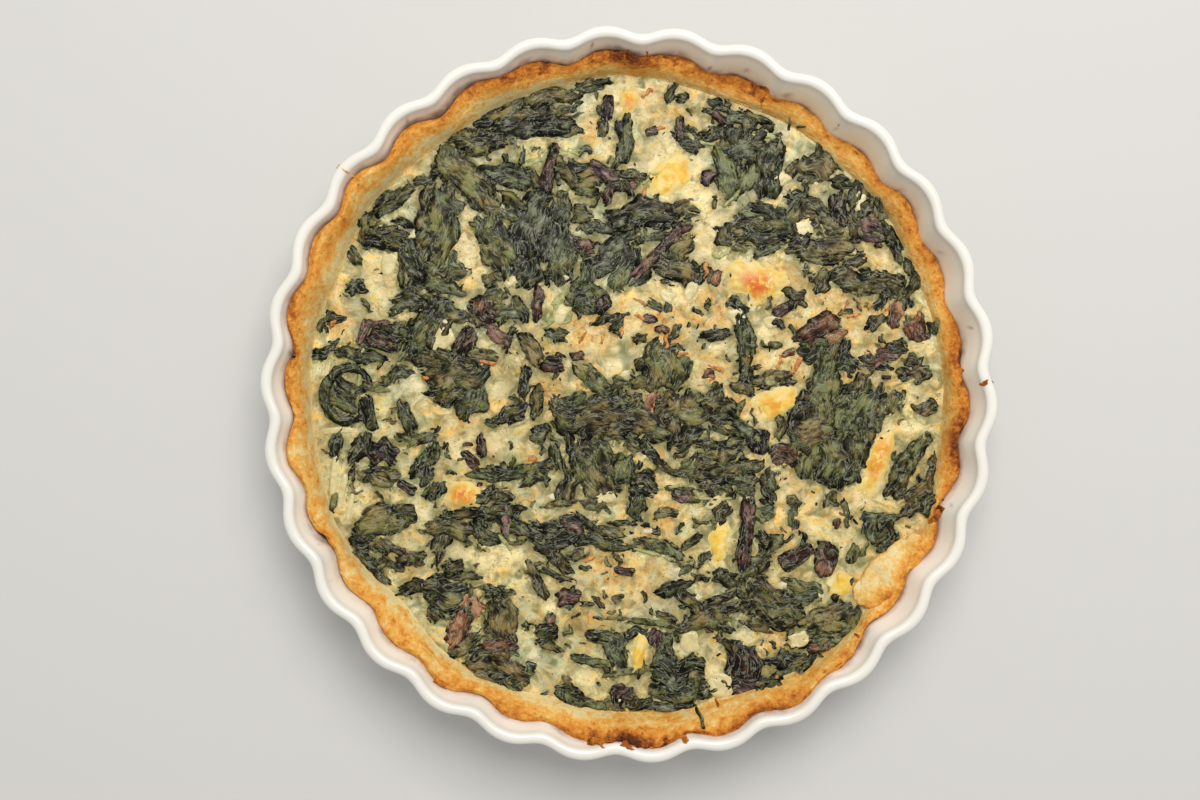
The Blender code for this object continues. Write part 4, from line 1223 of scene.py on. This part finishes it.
    (50, -113.5, 18, 4.5, 12), (60, -109, 10, 4, 25), (16, -121, 20, 3.4, 2), (27, -112, 12, 3, 85),
    (3, -93, 9, 5, 0), (5, -103, 12, 3.4, 85), (14, -58, 12, 4, -20), (63, -93, 7, 2.4, 60),
)
MORE_PURPLE = (
    (-9, 86, 14, 6, -20), (-3, 81, 12, 5.5, 12), (-8, 77, 7, 4, 62), (9, 102, 5, 3.4, 10),
    (36, 107, 15, 3, -36, -40), (31, 84, 7, 5, 60), (20, 103, 10, 3.6, 84, 20), (-17, 58, 9, 5, -20),
    (20, 63.5, 9, 3, 25, -30), (-103, 24, 10, 3.6, 68), (-97, 27.5, 8, 3, -10), (-50, 23, 12, 5, -36),
    (-57, 34, 9, 7, 60), (-30, 11, 9, 6, 0), (-57, -20, 9, 4, 86), (-60, -28, 7, 2.4, -40),
    (-48, -49, 12, 4.6, 88), (-23, -79, 9, 6.5, 0), (-1.5, -68.5, 8, 3.4, -8), (-22, -50, 9, 8, 0),
    (-35, 35, 13, 4, 80), (-10, 35, 8, 6, 40), (8.5, 29, 5, 3.6, 0), (21, -39, 9, 5, 0),
    (60, 33, 9, 4.5, 30), (100, 15, 13, 6, 10), (88, 60, 4, 3, 0), (-86, -36, 8, 4, -30),
    (-50, -98, 13, 6, 10), (-30, -87, 8, 3.6, 70), (10, -94, 7, 6, 60), (-3, -117, 9, 8, 45),
    (45, -55, 27, 6, 84), (65, -63, 14, 7, 30), (76, -64, 12, 8, 84), (81, -50, 4, 3, 60),
    (74, -98, 10, 4.5, 12), (-64, -93, 9, 3, 60), (46, -112, 14, 10, 10), (118, -47, 9, 3.4, 80),
    (-20, 15, 5, 3, 0), (-62, -19.5, 4, 1.6, 0), (100, 6.5, 4, 2, 0),
)
# Which purple nodes are darkest, and which are soft leaves and not cut stems.
DARK_PURPLE = ("purple_02", "purple_04", "purple_05", "purple_09", "purple_11")
SOFT_PURPLE = ("purple_06", "purple_08", "purple_10", "purple_11")
# The last two have browned in the oven.
BROWNED_PURPLE = ("purple_12", "purple_13")

# Small pale and toasted things.
WHITE_CRUMBS = (
    (-84, 62, 5, 4, 50), (-24, 45, 4, 3.5, 0), (72.5, 82, 5, 5, 0), (-71, 28, 4, 3.5, 0),
    (-105, -37, 4, 3, 30), (-1, 8, 6, 5, 0), (19, -69, 8, 6, -30), (26, -79, 6, 4, 20),
    (-37, -102, 7, 5, 30), (-107, 0, 3.4, 2.4, -50), (-3, -119, 3.2, 3, 45), (-56, -59, 4, 3, 0),
    (8, -53, 5, 3, 10), (48, 33, 4, 3, 20), (-30, -40, 4, 3, 0), (60, -74, 5, 3, 20), (61, 101, 5, 4, 0),
    (26, 76, 6, 4, 0),
)
ORANGE_THREADS = (
    (6, 77.5, 5, 1.6, 60), (21, 49.5, 6, 1.6, 40, 20), (30, 47, 7, 1.8, 85, 10), (7, 117, 4, 3, 70),
    (-93, 46.5, 5, 1.2, 20, 60), (-114.5, 27, 4, 2, 60), (-54.5, 12.5, 8, 1.6, -10, 20),
    (-78, 7, 4, 1.8, 0), (-65, -6, 4, 1.4, 0), (-77, 33, 4, 1.4, 20), (-37, -25, 3.4, 2.6, 0),
    (-18, 22, 7, 1.6, 55), (-10, 21, 6, 1.8, 88), (-14, 27, 5, 1.6, 30), (5.5, 29.5, 6, 2, -20),
    (15, 21.5, 8, 1.6, 88, 20), (20.5, 15, 5, 1.6, 10), (28, 3, 5, 1.4, 30), (10, -4, 11, 1.8, 72, 20),
    (11, -14, 5, 1.6, 40), (58.5, 13, 7, 1.6, 85, 10), (64, 10, 13, 2.0, 54, 40), (94, 25, 8, 2, 70),
    (101, 33, 4, 2, 0), (108, -28, 6, 1.8, 70), (81.5, 58.5, 3, 2.6, 0), (68, 69, 7.5, 1.6, 0),
    (-15, -64, 4, 2.2, 10), (34, 10, 6, 1.4, -20, 30), (32, 5, 5, 1.4, 40), (-8, 30, 8, 1.6, 10, 20),
    (4, 36, 6, 1.4, -30), (88, 31, 7, 1.6, 15), (84, 34, 5, 1.4, 60), (47, 17, 5, 1.6, 80),
    (-3, 24, 6, 1.6, 70), (12, 103, 4, 1.4, 10), (-95, -33, 4, 1.6, -20), (34.5, -120, 3.4, 1.8, 60),
)
ONION_SLICES = (
    (68, 64.5, 7.5, 7, 0), (-93, 50.5, 9, 6, 85), (-114, -31, 17, 3.2, 84), (-111, -38, 14, 3, 80),
    (-108, -44, 11, 2.6, 78), (36, -113, 10, 9.5, 0), (24, -96, 8, 7, 85), (66, -95, 8, 7, 10),
    (-72, 21.5, 11, 8, 35), (90, 75, 9, 5, 85), (59, 83, 8, 5, 40), (24, 40, 8, 5, 60),
    (15, 38, 7, 4.5, -30), (-26, 31, 8, 5, 60), (56, 28, 7, 5, 20), (-117, 7, 12, 2.6, 84),
    (-112, -14, 14, 3, 3), (42, 30, 8, 6, -50), (-45, 44, 6, 4, 30), (-9, -40, 8, 5, 20),
    (-88, 55, 6, 5, 0), (33, -42, 7, 4, 30),
)
BROWN_LEAVES = (
    (103, 31, 10, 6, 85), (112, 25, 12, 8, -70), (80, 22, 9, 5, 20), (-66, -88, 20, 8, 66, 10),
    (-60, -82, 9, 6, -40), (9, -3, 8, 5, 70), (31, 8, 5, 4, 0), (34, 45, 6, 4, 60), (13, 25, 5, 3, 0),
    (62, 16, 6, 3, 20), (-62, -25, 8, 4, -40), (55, -112, 8, 3.4, 42), (115, -7, 4, 3.4, 0),
    (104, 17, 7, 4, 10),
)
GREEN_STALKS = (
    (-36, 91, 11, 2.2, 35, 60), (-28, 34, 16, 4, 60, 10), (-91, 32, 5, 3, 30), (-76, 34, 5, 2.4, 60),
    (4, -15, 5, 4, 0), (37, 54, 8, 2.2, 30, 160), (53, 101, 10, 3.4, -10), (-33, 91.5, 16, 2, 14, -20),
    (-22, 94, 9, 2.2, -10), (-24, 29, 8, 2, 70), (9, 84, 10, 1.6, 40, 30), (28, 98, 12, 1.8, -20, 40),
    (-104, 8, 16, 1.6, 84), (-108, -34, 14, 1.8, 80), (14, -36, 20, 1.6, 4, 20),
    (30, -40, 22, 1.5, -4, 10), (10, -62, 18, 1.6, -14), (-48, -58, 9, 1.8, -50), (40, 76, 9, 1.6, 40),
    (66, 60, 8, 1.4, 10, 30),
)
# What lies on the rim: direction in degrees, radius, length, width and turn.
RIM_CRUMBS = (
    (1.7, 134.6, 4.2, 2.6, 35), (65.2, 126.4, 6.5, 5.5, 20), (338, 127.4, 6.5, 2.6, 75),
    (286, 124.0, 3.0, 1.6, 10), (87, 130.6, 3.4, 2.4, 50), (90, 131.0, 2.6, 2.0, 0),
    (265, 133.0, 5.0, 3.4, 80), (270, 133.4, 6.0, 3.6, 85), (275, 133.2, 5.0, 3.2, 95),
    (279, 132.4, 3.6, 2.6, 60), (237, 132.0, 3.6, 2.4, 85), (52, 130.4, 1.4, 1.2, 0),
    (313.5, 127.6, 3.4, 1.8, 20), (4, 128.0, 3.4, 2.2, 80), (354, 127.4, 3.0, 2.0, 60),
)
# A burnt thread on the lip, placed in the same way.
LIP_THREAD = (141.8, 136.8, 4.6, 1.0, 4)
RIM_STRANDS = (
    (59.3, 122.4, 5.0, 1.1, 30), (57.2, 123.6, 4.5, 1.1, 120), (37, 121.4, 7.0, 3.4, 80),
    (282.5, 127.0, 7.0, 1.6, 8), (97, 121.6, 9.0, 3.0, 88), (12.5, 121.8, 6.0, 2.4, 80),
    (146, 122.6, 7.0, 2.4, 86), (340, 124.0, 8.0, 5.5, 60), (296, 124.4, 9.0, 3.4, 84),
    (304, 125.0, 9.0, 3.6, 92), (173.5, 129.0, 1.6, 0.9, 0),
)

# Leaves from this length on are made as torn ones, and shorter ones as chopped ones.
BIG_LEAF = 14.0
# The rolled leaf, and how many places are tried for fine shreds.
CURLED_LENGTH = 47
CURLED_WIDTH = 4.2
CURLED_BEND = 280
SHRED_SEED = 404
SHRED_TRIES = 1500


def make_leaves(material, plan):
    """The wilted leaves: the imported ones, the torn ones and the chopped ones."""
    whole = Pile(plan)
    torn = Pile(plan)
    chopped = Pile(plan)
    nodes = nodes_named("leaf_")
    for order, placing in enumerate(MORE_LEAVES):
        # Neighbours lie at different heights, so that one covers the other.
        lift = 0.16 * (order % 5) - 0.2
        if placing[2] >= BIG_LEAF:
            torn.add(TORN, *placing, lift=lift)
        else:
            chopped.add(CHOPPED, *placing, lift=lift)
    for node, form in zip(nodes, LEAF_FORMS):
        whole.add(LEAF, *middle_mm(node), *form, lift=0.2)
    low, high = box_mm("curled_leaf")
    curled = (low[0] + 1.8, (low[1] + high[1]) / 2, CURLED_LENGTH, CURLED_WIDTH, -90, CURLED_BEND)
    whole.add(dict(LEAF, ragged=0.12, top=1.1), *curled, lift=0.3, tint=0.9)
    whole.finish("whole_leaves", material, "wilted_leaf", *nodes, "curled_leaf")
    torn.finish("torn_leaves", material, "wilted_leaf")
    chopped.finish("chopped_leaves", material, "wilted_leaf")


def make_shreds(material, plan):
    """Fine shreds of leaf, thickest round the bigger leaves."""
    rng = np.random.default_rng(SHRED_SEED)
    shreds = Pile(plan)
    near = plan.spread(6)
    under = plan.spread(1.0)
    for _ in range(SHRED_TRIES):
        angle = rng.uniform(0, TURN)
        reach = (case_inner(np.array([angle]))[0] - 1.5) * math.sqrt(rng.uniform(0, 1))
        x = reach * math.cos(angle)
        y = reach * math.sin(angle)
        size = rng.uniform(0.9, 2.0) ** 2
        shape = (size * rng.uniform(1.0, 2.0), size * rng.uniform(0.45, 0.85))
        turn = rng.uniform(0, 180)
        bend = rng.uniform(-50, 50)
        if rng.uniform() < 0.25 + 0.9 * plan.read(near, x, y):
            shreds.add(SHRED, x, y, *shape, turn, bend, lift=0.75 * plan.read(under, x, y))
    shreds.finish("leaf_shreds", material, "wilted_leaf")


def make_purple(material, plan):
    """Purple stems and leaves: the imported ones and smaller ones."""
    pieces = Pile(plan)
    for order, placing in enumerate(MORE_PURPLE):
        # Every third is a cut stem and the others are soft leaves.
        pieces.add(PURPLE_LEAF if order % 3 else STEM, *placing, lift=0.3)
    nodes = [node for node in nodes_named("purple_") if node not in BROWNED_PURPLE]
    for node, form in zip(nodes, PURPLE_FORMS):
        shade = -0.4 if node in DARK_PURPLE else 0
        style = dict(PURPLE_LEAF if node in SOFT_PURPLE else STEM, shade=shade)
        pieces.add(style, *middle_mm(node), *form, lift=0.2)
    pieces.finish("purple_pieces", material, "purple_stem", *nodes)


# How toasted each packed cheese lump is.
CHEESE_TOAST = (1.0, 0.35, 0.1, 0.7, 0.1, 0.2, 0.8, 0.1, 0.9)


def make_cheese(material, crumbs):
    """The melted cheese lumps and the white crumbs."""
    lumps = Pile()
    nodes = nodes_named("cheese_")
    for node, form, toast in zip(nodes, CHEESE_FORMS, CHEESE_TOAST):
        lumps.add(CHEESE, *middle_mm(node), *form, tint=toast)
    lumps.finish("cheese_lumps", material, "melted_cheese", *nodes)
    bits = Pile()
    for placing in WHITE_CRUMBS:
        bits.add(CRUMB, *placing, tint=0.0)
    bits.finish("white_crumbs", crumbs, "melted_cheese")


def make_small_things(orange, onion, green):
    """Toasted threads, translucent onion, and bright green stalks and bits."""
    for name, style, placings, material, slot in (
        ("toasted_threads", THREAD, ORANGE_THREADS, orange, "melted_cheese"),
        ("onion_slices", SLICE, ONION_SLICES, onion, "set_custard"),
        ("green_stalks", THREAD, GREEN_STALKS, green, "wilted_leaf"),
    ):
        pile = Pile()
        for placing in placings:
            pile.add(style, *placing, lift=0.3)
        pile.finish(name, material, slot)


def make_browned(material):
    """Leaves that have browned in the oven: the two packed ones and smaller ones."""
    pile = Pile()
    for placing in BROWN_LEAVES:
        pile.add(PURPLE_LEAF, *placing)
    for node, form in zip(BROWNED_PURPLE, PURPLE_FORMS[-len(BROWNED_PURPLE):]):
        pile.add(PURPLE_LEAF, *middle_mm(node), *form, lift=0.4)
    pile.finish("browned_leaves", material, "purple_stem", *BROWNED_PURPLE)


def polar_placing(direction, reach, length, width, turn):
    """A placing from a direction in degrees and a radius, turned from the outward line."""
    angle = math.radians(direction)
    return (reach * math.cos(angle), reach * math.sin(angle), length, width, direction + turn)


def make_rim_bits(crumb, leaf):
    """Crumbs, leaf strands and a burnt thread that lie on the pastry rim and on the lip."""
    crumbs = Pile(ground=rim_ground)
    for spot in RIM_CRUMBS:
        crumbs.add(RIM_CRUMB, *polar_placing(*spot))
    crumbs.add(dict(RIM_CRUMB, shade=-1.0), *polar_placing(*LIP_THREAD))
    # The crumbs' brown follows their tone: lighter on their crests as painted light, darker in their folds
    # as painted shade.
    crumbs.masks = {
        "brown": [0.62 + 0.3 * tone_and_painted_light for tone_and_painted_light in crumbs.masks["tone_and_painted_light"]],
        "inner_darkening": [0 * tone_and_painted_light for tone_and_painted_light in crumbs.masks["tone_and_painted_light"]],
    }
    crumbs.finish("rim_crumbs", crumb, "baked_pastry")
    strands = Pile(ground=rim_ground)
    for spot in RIM_STRANDS:
        strands.add(RIM_STRAND, *polar_placing(*spot), lift=0.5)
    strands.finish("rim_strands", leaf, "wilted_leaf")


# ------------------------------------------------------------ floor, light and camera


FLOOR_SIZE = 16
FLOOR_COLOUR = (0.62, 0.62, 0.61, 1)


def make_floor():
    """A plain pale floor that the dish stands on."""
    bpy.ops.mesh.primitive_plane_add(size=FLOOR_SIZE, location=(0, 0, CAD_BOX[0][2]))
    floor = bpy.context.object
    floor.name = "floor"
    material = bpy.data.materials.new("floor_look")
    material.use_nodes = True
    shader = material.node_tree.nodes["Principled BSDF"]
    shader.inputs["Base Color"].default_value = FLOOR_COLOUR
    shader.inputs["Roughness"].default_value = 0.9
    floor.data.materials.append(material)


# In metres and watts.
WINDOW_PLACE = Vector((0.16, 0.62, 1.2))
WINDOW_SIZE = 0.8
WINDOW_POWER = 14.5
WINDOW_COLOUR = (1.0, 0.97, 0.93)
FILL_STRENGTH = 0.54
FILL_COLOUR = (1.0, 0.985, 0.95, 1)


def make_light():
    """A window beyond the far side, a little to the right, and an even fill."""
    lamp = bpy.data.lights.new("window", "AREA")
    lamp.size = WINDOW_SIZE
    lamp.energy = WINDOW_POWER
    lamp.color = WINDOW_COLOUR
    window = bpy.data.objects.new("window", lamp)
    bpy.context.scene.collection.objects.link(window)
    window.location = WINDOW_PLACE
    window.rotation_euler = (-WINDOW_PLACE).to_track_quat("-Z", "Y").to_euler()
    world = bpy.data.worlds.new("fill")
    world.use_nodes = True
    background = world.node_tree.nodes["Background"]
    background.inputs["Color"].default_value = FILL_COLOUR
    background.inputs["Strength"].default_value = FILL_STRENGTH
    bpy.context.scene.world = world
    bpy.context.scene.view_settings.view_transform = "Standard"


# In metres, from the dish's middle and from its lip.
CAMERA_OFFSET = Vector((-0.0110, -0.0022, 0))
CAMERA_ABOVE_RIM = 0.630


def make_camera():
    """A camera straight above, slightly left of the dish's middle."""
    lens = bpy.data.cameras.new("camera")
    lens.lens = 50
    lens.sensor_width = 36
    camera = bpy.data.objects.new("camera", lens)
    camera.location = CAMERA_OFFSET + Vector((0, 0, DISH_HEIGHT * MM + CAMERA_ABOVE_RIM))
    bpy.context.scene.collection.objects.link(camera)
    bpy.context.scene.camera = camera


# The pale lumps of pastry folded in over the custard: how far their middle lies from the
# packed flap's in x and y, the height of the middle, length, width, height and turn.
FLAP_LUMPS = (
    (4.0, -4.4, 22.8, 25, 14.5, 6.6, 52), (0.0, -9.6, 22.2, 15, 13, 5.2, 24),
    (10.0, 2.0, 22.6, 20, 12, 5.4, 58), (15.5, 5.5, 23.0, 17, 9.0, 4.6, 66),
)


def make_flap(material):
    """The smooth lumps of pale pastry that have folded in over the custard."""
    angle = all_round(FLAP_COLUMNS)[None, :]
    rise = np.radians(np.linspace(-86, 86, FLAP_ROWS))[:, None]
    middle_x, middle_y = middle_mm("pastry_flap")
    points = []
    groups = []
    brown = []
    # Each lump is a squashed ball whose outer side rises with the rim.
    for shift_x, shift_y, level, length, width, height, turn in FLAP_LUMPS:
        turn = math.radians(turn)
        wave = 1 + 0.10 * noise(9 * np.cos(angle) + 40 * shift_x, 9 * np.sin(angle), 6, 84)
        reach = np.cos(rise) ** 0.8 * wave
        along = 0.5 * length * reach * np.cos(angle)
        across = 0.5 * width * reach * np.sin(angle) * (1 + 0.18 * np.cos(angle))
        across = across + 2.0 * (along / length) ** 2
        px = middle_x + shift_x + along * math.cos(turn) - across * math.sin(turn)
        py = middle_y + shift_y + along * math.sin(turn) + across * math.cos(turn)
        outward = np.hypot(px, py) - CASE_INNER
        pz = level + 0.5 * height * np.sin(rise) + 0.28 * np.clip(outward, -3, 6)
        pz = pz + 0.75 * noise(px, py, 8, 81) + 0.35 * noise(px, py, 3.5, 82)
        first = sum(len(lump) for lump in points)
        low_end = (px[0].mean(), py[0].mean(), pz[0].min())
        high_end = (px[-1].mean(), py[-1].mean(), pz[-1].max())
        rings = np.stack([px, py, pz], axis=-1).reshape(-1, 3)
        points.append(np.concatenate([rings, [low_end, high_end]]))
        groups.extend(group + first for group in turned_faces(FLAP_ROWS, FLAP_COLUMNS))
        # Browner towards the rim, and darker round the lower side of each lump: painted shade.
        shade = 0.05 + 0.36 * step_up(outward, -2.5, 4.5) + 0.35 * (1 - step_up(rise, 0.0, 0.5))
        brown.append(np.append((shade + 0.09 * noise(px, py, 6, 83)).ravel(), [0.3, 0.05]))
    masks = {"brown": np.concatenate(brown), "inner_darkening": np.zeros(sum(len(lump) for lump in points))}
    piece = make_mesh("pastry_flap_visual", np.concatenate(points), groups, masks, material)
    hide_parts("pastry_flap")


def main():
    """Everything, in the order in which one piece needs another."""
    make_camera()
    make_light()
    make_floor()
    make_dish(glaze_material())
    pastry = pastry_material()
    make_case(pastry)
    make_flap(pastry)
    leaf, purple, brown = (leaf_material(name, *look) for name, look in LEAF_LOOKS.items())
    plan = Plan()
    make_leaves(leaf, plan)
    make_purple(purple, plan)
    make_shreds(leaf, plan)
    make_custard(custard_material(), plan)
    crumbs = plain_material("white_crumb_look", (0.52, 0.46, 0.26), (0.78, 0.71, 0.46), 2.0, 0.45, 0.2)
    make_cheese(cheese_material(), crumbs)
    orange = plain_material("toasted_thread_look", (0.20, 0.05, 0.012), (0.72, 0.32, 0.06), 1.6, 0.4, 0.1)
    onion = plain_material("onion_look", (0.52, 0.44, 0.20), (0.72, 0.64, 0.34), 3.0, 0.3, 0.1)
    green = plain_material("celery_look", (0.17, 0.20, 0.05), (0.46, 0.45, 0.18), 2.0, 0.35, 0.1)
    make_small_things(orange, onion, green)
    make_browned(brown)
    make_rim_bits(pastry, leaf)


main()
